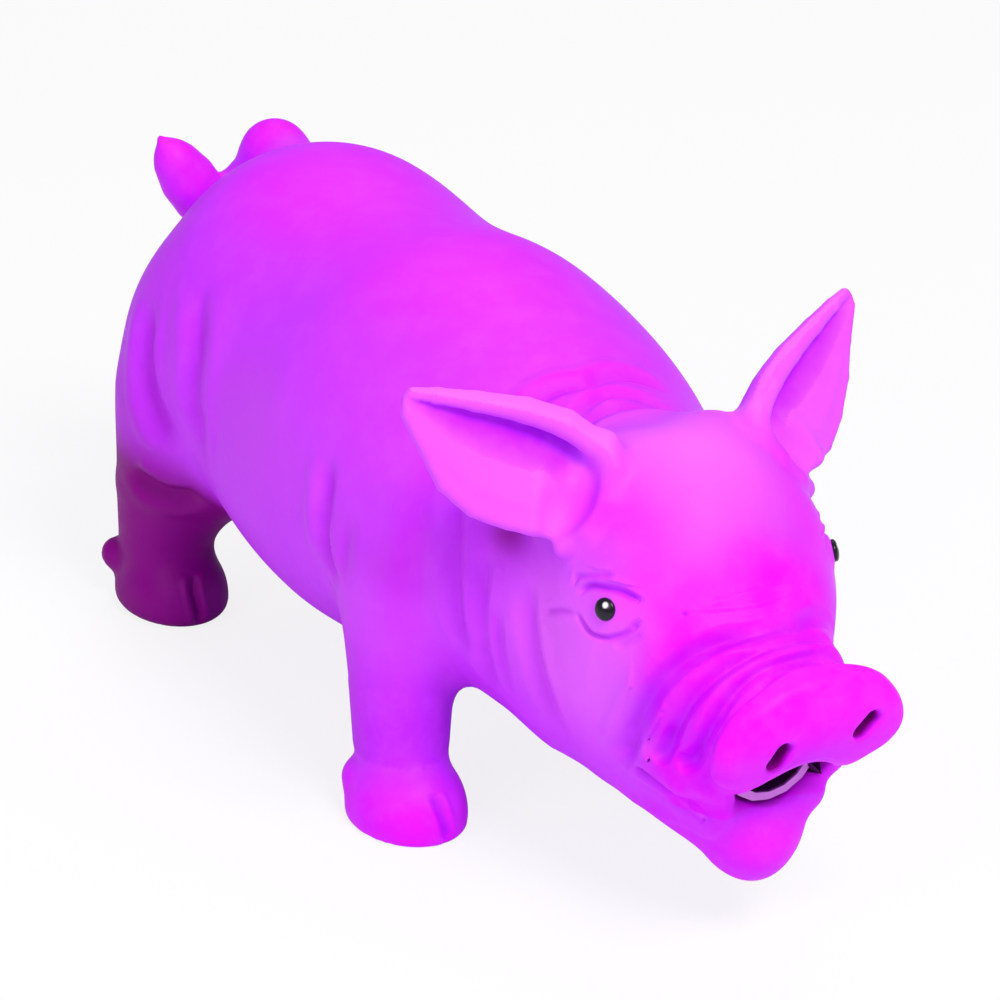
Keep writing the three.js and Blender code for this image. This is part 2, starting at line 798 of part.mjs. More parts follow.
function rearScreen() {
  const outline = new THREE.Shape();
  outline.absarc(0, 0, plugRadius, 0, Math.PI * 2, false);
  const ringRadius = plugRadius * screenRingShare;
  const centres = [new THREE.Vector2(0, 0)];
  for (let hole = 0; hole < screenHoleCount; hole += 1) {
    const angle = (hole / screenHoleCount) * Math.PI * 2;
    centres.push(new THREE.Vector2(ringRadius * Math.cos(angle), ringRadius * Math.sin(angle)));
  }
  for (const centre of centres) {
    const hole = new THREE.Path();
    hole.absarc(centre.x, centre.y, screenHoleRadius, 0, Math.PI * 2, true);
    outline.holes.push(hole);
  }
  return boreDisc(outline, tubeLength - tubeLedge - fitGap - screenThickness, screenThickness);
}

// Eyes: a bead of enamel on each side of the brow.
const eyeHeightShare = 0.192;
const eyeOutShare = 0.44;
const eyeForwardShare = 0.83;
const eyeLookShares = new THREE.Vector3(0.86, -0.42, 0.3);

function eyeBead(side) {
  const place = new THREE.Vector3(
    side * eyeOutShare * headWidth,
    headFront + (1 - eyeForwardShare) * headLength,
    headAxisHeight + eyeHeightShare * headHeight,
  );
  const bead = new THREE.SphereGeometry(1, beadSideCount, beadRingCount);
  bead.scale(eyeDiameter / 2, eyeDiameter / 2, eyeBulge);
  const look = eyeLookShares.clone().multiply(new THREE.Vector3(side, 1, 1)).normalize();
  bead.applyQuaternion(new THREE.Quaternion().setFromUnitVectors(zAxis, look));
  bead.translate(place.x, place.y, place.z);
  return solidOf(bead);
}

// The whole skin, and the one hollow that runs through all of it
const legNames = Object.keys(legPlans);
const hollowForms = [trunk, head, snout, jaw, ...legNames.map((name) => legPlans[name].form)];
const pits = [-1, 1].map((side) => nostril(side, wall));
const hollow = without(joined(hollowForms.map((form) => form.solid(wall))), ...pits);
const tubeSeat = tubeEnvelope(fitGap);
const seamPoint = new THREE.Vector3(0, neckSeamY, trunkAxisHeight);
const bodySide = halfSpace(seamPoint, neckSeamLean, 1, seamGap / 2);
const headSide = halfSpace(seamPoint, neckSeamLean, -1, seamGap / 2);
const underGround = halfSpace(new THREE.Vector3(), -Math.PI / 2, 1, 0);
const trunkSpace = trunk.solid(-seamGap);
const headSpace = head.solid(-seamGap);
const snoutSpace = snout.solid(-seamGap).subtract(mouthOpening(-seamGap));

const toy = new THREE.Group();

function addSkin(name, solid, colour) {
  toy.add(meshOf(name, solid, latex(colour)));
}

const tail = tailCurl();
const tailFixed = tail.intersect(tailRootPart(0));
const torsoForm = trunk.solid().add(tailFixed).intersect(bodySide);
addSkin('torso_skin', without(torsoForm, hollow), skinColours.body);

const ears = { ear_left: 1, ear_right: -1 };
const earRoots = Object.values(ears).map((side) => earLeaf(side).intersect(earRootPart(side, 0)));
const headForm = joined([trunk.solid(), head.solid(), ...earRoots]).intersect(headSide);
addSkin('head_skin', without(headForm, hollow, tubeSeat), skinColours.body);

const nostrilPits = [-1, 1].map((side) => nostril(side, 0));
const snoutForm = without(snout.solid(), headSpace, tubeSeat, mouthOpening(0), ...nostrilPits);
addSkin('snout_skin', without(snoutForm, hollow), skinColours.snout);
const jawForm = without(jaw.solid(), trunkSpace, headSpace, snoutSpace, tubeSeat);
addSkin('lower_jaw_skin', without(jawForm, hollow), skinColours.jaw);

for (const [name, side] of Object.entries(ears)) {
  addSkin(name, without(earLeaf(side), earRootPart(side, seamGap), headSpace, trunkSpace), skinColours.ear);
}

for (const name of legNames) {
  const plan = legPlans[name];
  const outside = joined([plan.form.solid(), ...dewclaws(plan)]);
  addSkin(name, without(outside, trunkSpace, underGround, hoofCleft(plan), hollow), skinColours.leg);
}

addSkin('tail', without(tail, tailRootPart(seamGap), trunkSpace), skinColours.tail);

const stuffing = wall + fillingGap;
const legForms = legNames.map((name) => legPlans[name].form);
const trunkStuffing = joined([trunk, ...legForms].map((form) => form.solid(stuffing)));
const headStuffing = joined([trunk, head, snout, jaw].map((form) => form.solid(stuffing)));
const headPockets = [tubeEnvelope(fillingGap), mouthOpening(fillingGap), ...pits];
toy.add(meshOf('filling_body', trunkStuffing.intersect(bodySide), fibre));
toy.add(meshOf('filling_head', without(headStuffing.intersect(headSide), ...headPockets), fibre));

for (const [name, side] of Object.entries({ eye_left: 1, eye_right: -1 })) {
  toy.add(meshOf(name, without(eyeBead(side), headSpace), eyeEnamel));
}

voiceUnit.add(meshOf('grunter_tube', grunterTube(), tubePlastic));
voiceUnit.add(meshOf('reed_seat', reedSeat(), seatPlastic));
voiceUnit.add(meshOf('reed_clamp', reedClamp(), seatPlastic));
voiceUnit.add(meshOf('reed', reedTongue(), reedPlastic));
voiceUnit.add(meshOf('rear_screen', rearScreen(), seatPlastic));
toy.add(voiceUnit);

// The toy stands over the middle of its own length.
const reach = new THREE.Box3().setFromObject(toy);
toy.position.y = -(reach.min.y + reach.max.y) / 2;

export default toy;
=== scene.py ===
import bpy
import math
import numpy as np
from mathutils import Matrix, Vector


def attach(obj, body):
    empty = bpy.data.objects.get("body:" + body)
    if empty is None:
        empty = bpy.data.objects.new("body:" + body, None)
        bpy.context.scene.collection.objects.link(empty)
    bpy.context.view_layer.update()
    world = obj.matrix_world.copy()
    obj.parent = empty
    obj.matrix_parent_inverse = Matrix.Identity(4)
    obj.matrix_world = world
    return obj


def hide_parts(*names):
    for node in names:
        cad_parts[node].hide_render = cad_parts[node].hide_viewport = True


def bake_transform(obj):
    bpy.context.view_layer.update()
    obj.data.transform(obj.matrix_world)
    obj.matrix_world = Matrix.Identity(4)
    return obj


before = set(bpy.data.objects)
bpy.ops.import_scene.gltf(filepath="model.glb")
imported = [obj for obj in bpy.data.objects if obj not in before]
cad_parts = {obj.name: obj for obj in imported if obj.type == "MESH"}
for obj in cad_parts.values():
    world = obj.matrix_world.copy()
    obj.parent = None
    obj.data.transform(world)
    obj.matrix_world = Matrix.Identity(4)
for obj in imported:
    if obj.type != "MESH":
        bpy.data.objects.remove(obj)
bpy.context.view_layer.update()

# The studio: a pale floor under soft lamps, seen from in front of the pig's right side and above.
# The lens and the camera's place were worked out from the toy's outline and its feet.
mm = 0.001
drawing_shift = np.array((0, -2.7158, 0))
looked_at = Vector((0, -2.7158, 55)) * mm
camera_azimuth = math.radians(-30.812)
camera_height = math.radians(24.61)
camera_roll = math.radians(0.262)
camera_distance = 995.286 * mm
camera_across = 0.132 * mm
camera_up = -2.16 * mm
sensor_width = 36
lens_length = 180.258


def place_camera():
    camera = bpy.data.objects.new("camera", bpy.data.cameras.new("camera"))
    bpy.context.collection.objects.link(camera)
    camera.data.lens = lens_length
    camera.data.sensor_width = sensor_width
    camera.data.clip_start = 0.05
    back = Vector((
        math.sin(camera_azimuth) * math.cos(camera_height),
        -math.cos(camera_azimuth) * math.cos(camera_height),
        math.sin(camera_height)))
    right = (-back).cross(Vector((0, 0, 1))).normalized()
    up = right.cross(-back)
    level_right = right.copy()
    right = right * math.cos(camera_roll) + up * math.sin(camera_roll)
    up = up * math.cos(camera_roll) - level_right * math.sin(camera_roll)
    turned = Matrix((right, up, back)).transposed().to_4x4()
    place = looked_at + back * camera_distance + right * camera_across + up * camera_up
    camera.matrix_world = Matrix.Translation(place) @ turned
    bpy.context.scene.camera = camera


place_camera()
bpy.context.scene.view_settings.view_transform = "Standard"


def add_lamp(name, azimuth, height, distance, size, watts, tint):
    lamp = bpy.data.objects.new(name, bpy.data.lights.new(name, "AREA"))
    bpy.context.collection.objects.link(lamp)
    lamp.data.shape = "DISK"
    lamp.data.size = size
    lamp.data.energy = watts
    lamp.data.color = tint
    a, e = math.radians(azimuth), math.radians(height)
    away = Vector((math.sin(a) * math.cos(e), -math.cos(a) * math.cos(e), math.sin(e)))
    lamp.location = looked_at + away * distance
    lamp.rotation_euler = away.to_track_quat("Z", "Y").to_euler()
    return lamp


add_lamp("lamp_main", 0, 50, 1.1, 0.45, 10.2, (1, 1, 1))
add_lamp("lamp_side", -72, 32, 1.3, 0.8, 4.4, (1, 0.97, 1))
add_lamp("lamp_back", 150, 55, 1.3, 0.8, 3.2, (1, 0.98, 1))

world = bpy.data.worlds.new("studio")
bpy.context.scene.world = world
world.use_nodes = True
air = world.node_tree
air.nodes.clear()
seen_air = air.nodes.new("ShaderNodeBackground")
seen_air.inputs["Color"].default_value = (1, 1, 1, 1)
seen_air.inputs["Strength"].default_value = 1
lit_air = air.nodes.new("ShaderNodeBackground")
lit_air.inputs["Color"].default_value = (0.88, 0.86, 1, 1)
lit_air.inputs["Strength"].default_value = 0.36
air_ray = air.nodes.new("ShaderNodeLightPath")
air_choice = air.nodes.new("ShaderNodeMixShader")
air_out = air.nodes.new("ShaderNodeOutputWorld")
air_seen = air.nodes.new("ShaderNodeMath")
air_seen.operation = "MAXIMUM"
air.links.new(air_ray.outputs["Is Camera Ray"], air_seen.inputs[0])
air.links.new(air_ray.outputs["Is Transmission Ray"], air_seen.inputs[1])
air.links.new(air_seen.outputs[0], air_choice.inputs[0])
air.links.new(lit_air.outputs[0], air_choice.inputs[1])
air.links.new(seen_air.outputs[0], air_choice.inputs[2])
air.links.new(air_choice.outputs[0], air_out.inputs["Surface"])

floor_mesh = bpy.data.meshes.new("floor")
floor_reach = 6.0
floor_mesh.from_pydata(
    [(-floor_reach, -floor_reach, 0), (floor_reach, -floor_reach, 0),
     (floor_reach, floor_reach, 0), (-floor_reach, floor_reach, 0)], [], [(0, 1, 2, 3)])
floor = bpy.data.objects.new("floor", floor_mesh)
bpy.context.collection.objects.link(floor)
floor_paint = bpy.data.materials.new("floor_paint")
floor_paint.use_nodes = True
ground = floor_paint.node_tree
ground.nodes.clear()
ground_matt = ground.nodes.new("ShaderNodeBsdfDiffuse")
ground_matt.inputs["Color"].default_value = (0.86, 0.86, 0.87, 1)
ground_glow = ground.nodes.new("ShaderNodeEmission")
ground_glow.inputs["Color"].default_value = (1, 1, 1, 1)
ground_glow.inputs["Strength"].default_value = 1.0
ground_ray = ground.nodes.new("ShaderNodeLightPath")
ground_share = ground.nodes.new("ShaderNodeMath")
ground_share.operation = "MULTIPLY"
ground_share.inputs[1].default_value = 0.84
ground_choice = ground.nodes.new("ShaderNodeMixShader")
ground_out = ground.nodes.new("ShaderNodeOutputMaterial")
ground.links.new(ground_ray.outputs["Is Camera Ray"], ground_share.inputs[0])
ground.links.new(ground_share.outputs[0], ground_choice.inputs[0])
ground.links.new(ground_matt.outputs[0], ground_choice.inputs[1])
ground.links.new(ground_glow.outputs[0], ground_choice.inputs[2])
ground.links.new(ground_choice.outputs[0], ground_out.inputs["Surface"])
floor_mesh.materials.append(floor_paint)

# The trunk of the skin: a plump barrel from the neck to the rump, of latex slush-cast in a mould.
# Every form here is drawn in millimetres as a distance field, below zero inside the skin,
# and runs into its neighbours with a fillet, since the real skin is one seamless casting.


def blended(first, second, reach):
    share = np.clip(0.5 + 0.5 * (second - first) / reach, 0, 1)
    return second + (first - second) * share - reach * share * (1 - share)


def turned_about_x(angle):
    along, across = math.cos(math.radians(angle)), math.sin(math.radians(angle))
    return np.array(((1, 0, 0), (0, along, -across), (0, across, along)))


def ellipsoid(points, centre, radii, turn=None):
    placed = points - np.array(centre, float)
    if turn is not None:
        placed = placed @ turn
    radii = np.array(radii, float)
    near = np.linalg.norm(placed / radii, axis=-1)
    slope = np.linalg.norm(placed / radii ** 2, axis=-1)
    return near * (near - 1) / np.maximum(slope, 1e-6)


def limb(points, centres, radii, reach=0):
    form = None
    spans = list(zip(centres[:-1], centres[1:], radii[:-1], radii[1:]))
    for start, end, first, last in spans:
        start = np.array(start, float)
        along = np.array(end, float) - start
        share = np.clip((points - start) @ along / (along @ along), 0, 1)
        span = np.linalg.norm(points - (start + share[..., None] * along), axis=-1)
        span = span - (first + (last - first) * share)
        if form is None:
            form = span
        elif reach:
            form = blended(form, span, reach)
        else:
            form = np.minimum(form, span)
    return form


def mirrored(points):
    folded = points.copy()
    folded[..., 0] = np.abs(folded[..., 0])
    return folded


def trunk_form(points):
    form = ellipsoid(points, (0, 70.3, 62.6), (37.8, 38.3, 40.8))
    form = blended(form, ellipsoid(points, (0, 17, 60.2), (41, 51.5, 41.9)), 21)
    form = blended(form, ellipsoid(mirrored(points), (13.6, 28, 47), (24, 42, 23.4)), 12)
    form = blended(form, ellipsoid(points, (0, -18, 56.3), (35.2, 36, 32.2)), 20)
    return blended(form, ellipsoid(points, (0, -44, 53.4), (28.8, 26, 34.2)), 14)


# Folds of the trunk and the neck, pressed into the cast skin as soft rolls.
# Each is a line over the right side, with its depth, width, how its two ends fade, and how much shade is
# painted along it, a painted highlight where that is below zero; the left side has the same.
creases = []


def crease(depth, width, fade, shading, *line):
    creases.append((depth, width, fade, shading, np.array(line, float)))


crease(2.0, 3.2, 9, 0.55, (-36, 80.4, 76), (-37, 79.9, 70.8), (-38.3, 79.4, 65.2), (-39.2, 77.5, 59.4),
       (-39.4, 74.7, 54.2), (-38.7, 71, 50), (-37.4, 66, 47.3))
crease(1.5, 3.2, 12, 0.45, (-32.3, 63.5, 86), (-35.1, 61.6, 78.8), (-37.8, 58.8, 70.5), (-38.8, 58.6, 60.8),
       (-38.8, 56.7, 57.1), (-38.6, 56.7, 53), (-37, 58.1, 45.4))
crease(2.2, 2.2, 5, 0.8, (-40.2, 84, 36.6), (-39.9, 82.6, 35.1), (-38.2, 78.8, 33), (-34.7, 74.2, 31.9),
       (-31.2, 68.2, 33))
crease(1.6, 2.3, 7, 0.55, (-37.9, -1.8, 71.6), (-39.7, -1.6, 64.6), (-40.6, -2, 56.3), (-41.7, -5.8, 51.7),
       (-42.7, -12.3, 48.2))
crease(0.8, 2.2, 7, 0.3, (-41.6, -10.6, 64), (-43.2, -12.5, 56.2), (-43.6, -14.9, 49))
crease(1.7, 2.2, 9, 0.45, (-31, -32.5, 78), (-32, -34.4, 72.1), (-33.5, -37, 65.6), (-34.1, -38.7, 57.7),
       (-33.3, -39, 49.7), (-31.1, -40.8, 41))
crease(1.5, 1.9, 8, 0.35, (-29.8, -44.7, 69), (-30.8, -44.9, 64.7), (-31.8, -45.1, 55.4), (-30.6, -44.7, 46.1),
       (-26.9, -43.1, 35))
crease(1.2, 1.6, 8, 0.3, (-30.2, -48.7, 59), (-29.3, -48.7, 47.5), (-26.6, -48.9, 37))
crease(1.2, 2.2, 9, 0.4, (-26.6, -55.5, 66), (-27.1, -57.3, 55), (-25.8, -59.8, 44.3), (-23.9, -63, 34))
crease(1.5, 1.9, 6, 0.5, (-19.6, -35.5, 87), (-13, -33.3, 90.4), (-9.1, -32.5, 91.9), (-4.7, -32.8, 92.7),
       (0.3, -34, 92.7), (6, -33.5, 92.3), (12, -34, 90.5))
crease(1.2, 1.5, 5, 0.5, (-14.2, -45.6, 87), (-8.4, -42.2, 89.5), (-3.1, -39.8, 91.2), (1.9, -39.1, 91.5),
       (8, -42, 89.5))
crease(1.1, 1.3, 5, 0.5, (-12, -47, 87.6), (-7, -44.3, 89.2), (-2.6, -43.6, 90.1), (3, -43.6, 90),
       (9, -45, 88.6))

# The head: a domed skull with full cheeks, moulded in the same casting.
# Almond eyelids and a crease behind each eye are cut in its surface.


def head_form(points):
    folded = mirrored(points)
    form = ellipsoid(points, (0, -67, 69), (24, 23, 24))
    form = blended(form, ellipsoid(folded, (14.3, -71.6, 66.4), (10.7, 13.4, 13)), 9)
    form = blended(form, ellipsoid(folded, (11, -67, 47.4), (14.6, 23, 19.6)), 12)
    form = blended(form, ellipsoid(folded, (11, -60.5, 80), (11, 12, 11.4)), 5)
    form = blended(form, ellipsoid(folded, (13, -77, 60.5), (10, 10.8, 10)), 6)
    return blended(form, np.linalg.norm(folded - np.array((20.9, -78.5, 67.5)), axis=-1) - 4.8, 1.2)


crease(0.6, 0.7, 2.5, 0.5, (-26.6, -71.6, 69.2), (-26, -72, 71.3), (-25.3, -74.3, 72.4), (-24.3, -77, 73.3),
       (-22.6, -79.7, 74.3))
crease(1.2, 0.75, 3, 0.8, (-26.4, -73, 68.8), (-26.2, -74.1, 69.9), (-25.4, -76, 71.2), (-24.2, -79, 71.7),
       (-22.9, -81.6, 71.9), (-21.9, -83.4, 71.5), (-21, -84.9, 71), (-20.2, -86, 70.7))
crease(0.45, 0.7, 4, 0.45, (-26.8, -61, 60.2), (-27.5, -68.2, 63.6), (-27.2, -74.1, 65.4))
crease(1.0, 0.7, 2.5, 0.6, (-27.3, -73.6, 65.6), (-27.2, -75.9, 63.9), (-27, -77.7, 62.9), (-26.4, -79.8, 62.8),
       (-25.6, -81.8, 63.1), (-24.7, -83.3, 63.8), (-23.7, -84.6, 64.7), (-22.2, -85.6, 66.2), (-21, -86.2, 68))
crease(0.5, 0.9, 3, 0.3, (-21.2, -87.2, 66.6), (-22.1, -86.9, 65), (-23.6, -85.4, 63.3), (-25.1, -83.1, 61.9))
crease(0.25, 0.5, 2, 0.35, (-10.6, -92.5, 70.7), (-8.2, -93.1, 71.3), (-6.2, -94.1, 70.8))
crease(0.25, 0.5, 2, 0.35, (-7, -93.4, 71.4), (-3.7, -93.8, 71.9), (1.4, -94.4, 71.6))
crease(0.6, 0.4, 0.3, 1.0, (-15.1, -91.1, 69.3), (-14.7, -91.3, 69.3))

# The snout: a blunt cone with three soft ridges that ends in a broad oval disc.
# The disc carries two slanted nostrils, and its underside is cut back and arches over the mouth.
disc_centre = (0, -108.9, 47.5)
disc_turn = turned_about_x(4)
under_disc = np.array((0, -112.6, 45.4))
under_facing = np.array((0, -0.773, -0.634))


def rounded_disc(points, centre, half_width, half_height, half_depth, rounding, turn):
    placed = (points - np.array(centre, float)) @ turn
    flat = np.stack([placed[..., 0] / (half_width - rounding),
                     placed[..., 2] / (half_height - rounding)], -1)
    near = np.linalg.norm(flat, axis=-1)
    slope = np.linalg.norm(flat / np.array((half_width - rounding, half_height - rounding)), axis=-1)
    across = near * (near - 1) / np.maximum(slope, 1e-6)
    deep = np.abs(placed[..., 1]) - (half_depth - rounding)
    outside = np.linalg.norm(np.stack([np.maximum(across, 0), np.maximum(deep, 0)], -1), axis=-1)
    return outside + np.minimum(np.maximum(across, deep), 0) - rounding


def snout_form(points):
    narrowed = points.copy()
    far_side = np.where(points[..., 0] > 0, 1.27, 1)
    narrowed[..., 0] *= np.interp(points[..., 1], (-104, -80), (0.82, 0.95)) * far_side
    barrel = limb(narrowed, [(0, -78, 56), (0, -94.5, 52)], [20.5, 16])
    tapered = points.copy()
    tapered[..., 0] -= 0.8
    tapered[..., 0] *= np.where(tapered[..., 0] > 0, 1 - 0.004 * np.clip(50 - points[..., 2], 0, 10), 1)
    disc = rounded_disc(tapered, disc_centre, 20.5, 14.2, 3.5, 3.4, disc_turn)
    swell = ellipsoid(tapered, disc_centre, (18.9, 4.3, 12.9), disc_turn)
    nose = -blended(-blended(disc, swell, 2), -((points - under_disc) @ under_facing), 5)
    return blended(barrel, nose, 2)


nostril_lines = [((-6.5, 48.2), (-7.7, 45.8)), ((12.7, 50), (10.7, 48))]
nostril_floor = -104.6


def nostril_space(points):
    flat = points[..., [0, 2]]
    form = None
    for top, bottom in nostril_lines:
        start = np.array(top, float)
        along = np.array(bottom, float) - start
        share = np.clip((flat - start) @ along / (along @ along), 0, 1)
        across = np.linalg.norm(flat - (start + share[..., None] * along), axis=-1)
        pit = across - 2 + 0.1 * (points[..., 1] + 113)
        form = pit if form is None else np.minimum(form, pit)
    return np.maximum(form, points[..., 1] - nostril_floor)


crease(2.3, 2.1, 5, 0.65, (-19.5, -79.5, 36), (-21.4, -82.9, 39.9), (-22.4, -86.6, 46.6), (-21.6, -91, 54.5),
       (-17.5, -94.6, 61.7), (-11.3, -97.4, 65.4), (-5.3, -99.9, 66.6), (0, -100.4, 67.1), (5.3, -99.9, 66.6),
       (11.3, -97.4, 65.4))
crease(2.1, 1.5, 5, 0.45, (-15.6, -87.5, 38), (-17.7, -90.4, 41.5), (-19.4, -95.3, 49.2), (-18.3, -98.6, 55.9),
       (-13.2, -101.2, 61.8), (-5.8, -102.9, 64.8), (0, -103.3, 65.3), (5.8, -102.9, 64.8), (13.2, -101.2, 61.8))
crease(1.7, 1.2, 4, 0.5, (-12.5, -91, 38), (-16.2, -97.5, 43), (-17.1, -101.5, 48.3), (-15.4, -104.2, 55.2),
       (-11.1, -105.2, 60), (-5.1, -105.6, 63), (0, -105.8, 63.4), (5.1, -105.6, 63), (11.1, -105.2, 60))
crease(1.0, 0.9, 4, 0.4, (-16.5, -106.5, 42), (-18.8, -107.4, 49), (-16.3, -107.2, 55), (-10.7, -107.4, 60.2),
       (-4.3, -107.4, 63.3), (0, -107.4, 63.6), (4.3, -107.4, 63.3), (10.7, -107.4, 60.2))
crease(-0.35, 0.55, 2, -1.0, (-8.9, -103.4, 35.6), (-8.8, -104.5, 36.7), (-7.6, -106.6, 39.3),
       (-5.3, -108.6, 41.7), (0, -109.5, 42.8), (5.3, -108.6, 41.7))

# The lower jaw: a pointed chin of the same casting that holds the voice tube from below.
# The lips part round the tube's mouth, and a soft web joins them at each corner of the mouth.


def jaw_form(points):
    narrowed = points.copy()
    narrowed[..., 0] *= (1 + 0.042 * np.clip(25 - points[..., 2], 0, 13)) / 1.3
    wedge = limb(narrowed, [(0, -54, 35), (0, -80, 27.7), (0, -91.6, 20.9)], [16.2, 12.1, 9.6], 4)
    lip_line = [(15, -84, 34), (12.8, -90, 31.6), (8.4, -95, 29.3), (0, -96.4, 28)]
    lip = limb(mirrored(points), lip_line, [3, 2.9, 2.5, 2.4], 1)
    return blended(wedge, lip, 5)


def upper_lip_form(points):
    line = [(17, -85, 39), (15, -93, 37.4), (12.8, -99, 38.2), (12.4, -103, 41)]
    return limb(mirrored(points), line, [3.8, 4, 3.4, 2.6], 1)


def mouth_corner_form(points):
    return ellipsoid(mirrored(points), (10.5, -95, 33), (2.2, 5.4, 6.4))


mouth_axis = turned_about_x(6)
tube_mouth = np.array((0, -99.5, 40.3))
tube_rise = math.radians(8)
tube_climb = math.tan(tube_rise)


def mouth_space(points):
    placed = (points - np.array((0, -108, 34.6))) @ mouth_axis
    arch = (np.hypot(placed[..., 0] / 9.6, placed[..., 2] / 8.8) - 1) * 8.8
    return np.maximum(arch, np.abs(placed[..., 1]) - 13)


def tube_space(points):
    level = tube_mouth[2] + tube_climb * (points[..., 1] - tube_mouth[1])
    around = np.hypot(points[..., 0], points[..., 2] - level) - 10.6
    return np.maximum(around, np.abs(points[..., 1] + 95) - 9)


crease(0.7, 0.9, 2, 1.0, (-19.5, -84, 37.2), (-18.7, -85.8, 36.5), (-17, -88.5, 34.6), (-16, -91, 32.6))
crease(-0.3, 0.6, 2, -0.9, (-16, -91, 32.6), (-14.8, -93.4, 31.4), (-13.2, -95.4, 30), (-11.4, -96.7, 28.6))
crease(0.4, 0.7, 1, 0.9, (-13, -95.8, 29.2), (-12, -96.5, 28.6))

# The legs: four stout shanks of the same casting, each widening into a cloven hoof.
# Two dewclaws stand behind each hoof, and its sole is flat, so that the toy stands by itself.


def front_leg_form(points):
    folded = mirrored(points)
    shank = limb(folded, [(28.3, -14, 50), (31.9, -16.4, 28), (32.2, -16.8, 16)], [14.6, 10.4, 9.6])
    hoof = ellipsoid(folded, (33.5, -20.9, 2.6), (11.4, 14.3, 12.8))
    hoof = -blended(-hoof, folded[..., 2], 1.2)
    claws = np.linalg.norm(folded - np.array((39.6, -13.2, 7.6)), axis=-1) - 3.4
    claws = np.minimum(claws, np.linalg.norm(folded - np.array((27.6, -10.4, 7.4)), axis=-1) - 3.4)
    return blended(blended(shank, hoof, 3), claws, 2.5)


def rear_leg_form(points):
    folded = mirrored(points)
    thigh = ellipsoid(folded, (20, 84, 52), (18.5, 22.6, 30))
    shank = limb(folded, [(23.6, 84, 44), (28.2, 89, 28), (29, 90, 16)], [15, 11.5, 10.2])
    hoof = ellipsoid(folded, (29, 88.2, 3.4), (11.4, 14.6, 12.4))
    hoof = -blended(-hoof, folded[..., 2], 3)
    claws = np.linalg.norm(folded - np.array((36.8, 97.6, 10)), axis=-1) - 3.6
    claws = np.minimum(claws, np.linalg.norm(folded - np.array((23.4, 100, 8.6)), axis=-1) - 3.4)
    leg = blended(blended(shank, hoof, 3), claws, 2.5)
    return blended(thigh, leg, 10)


crease(1.3, 0.9, 3, 0.7, (-33.9, -34.4, 13), (-33.8, -34.6, 10.6), (-32.9, -34.8, 5), (-32.1, -34.2, 0.3))
crease(1.3, 0.9, 3, 0.7, (-29.1, 75.3, 13.7), (-30.3, 74.3, 9.3), (-30, 73.5, 4.5), (-29.6, 74, 0.3))

# The tail: a fat root high on the rump that curls to the right and ends in a pointed leaf.
# It is solid latex in the same casting, and bends at its root.


def tail_form(points):
    centres = [(6.6, 98, 89), (6.6, 105, 90.6), (3, 110.4, 81.5), (-2.5, 112.4, 78), (-8, 111.6, 81.5),
               (-11.2, 111.2, 86.4), (-14, 111.4, 91), (-16.8, 111.8, 96)]
    return limb(points, centres, [7.2, 6.8, 5.6, 5.4, 5.2, 5.3, 4, 0.9], 3)


# The ears: pointed leaves that stand out from the skull, cupped towards the front.
# The upper edge is rolled forwards over a deep recess, and a fold crosses the lower part near the root.


def smooth_line(line, spacing=0.5):
    ends = np.concatenate([[2 * line[0] - line[1]], line, [2 * line[-1] - line[-2]]])
    placed = []
    for n in range(1, len(ends) - 2):
        a, b, c, d = ends[n - 1:n + 3]
        count = max(2, int(np.linalg.norm(c - b) / spacing))
        t = np.linspace(0, 1, count, endpoint=False)[:, None]
        placed.append(0.5 * (2 * b + (c - a) * t + (2 * a - 5 * b + 4 * c - d) * t ** 2
                             + (3 * b - a - 3 * c + d) * t ** 3))
    placed.append(line[-1:])
    return np.concatenate(placed)


ear_root = np.array((22.15, -63.1, 85.1))
ear_along = np.array((0.742, 0.428, 0.516))
ear_across = np.array((-0.604, 0.114, 0.789))
ear_facing = np.array((0.279, -0.897, 0.343))
ear_axes = np.stack([ear_along, ear_across, ear_facing], 1)
ear_upper_edge = smooth_line(np.array(((-8, 8), (-3, 10.6), (0.7, 11.4), (7, 12.2), (14.8, 10.7), (23.7, 7.4),
                                       (30.6, 4.4), (35.3, 2.1))), 4)
ear_lower_edge = smooth_line(np.array(((36.4, -0.8), (34, -3.2), (27.5, -7.6), (21.7, -11.4), (14.5, -13.2),
                                       (7.6, -12.3), (-0.4, -10), (-8, -7))), 4)


def outline_distance(across, outline):
    distance = np.full(across.shape[:-1], 1e9)
    inside = np.zeros(across.shape[:-1], bool)
    for start, end in zip(outline, np.roll(outline, -1, 0)):
        side = end - start
        reach = across - start
        share = np.clip(reach @ side / (side @ side), 0, 1)
        distance = np.minimum(distance, np.linalg.norm(reach - share[..., None] * side, axis=-1))
        crossing = (start[1] > across[..., 1]) != (end[1] > across[..., 1])
        level = start[0] + (across[..., 1] - start[1]) * side[0] / (side[1] if side[1] else 1e-9)
        inside ^= crossing & (across[..., 0] < level)
    return np.where(inside, -distance, distance)


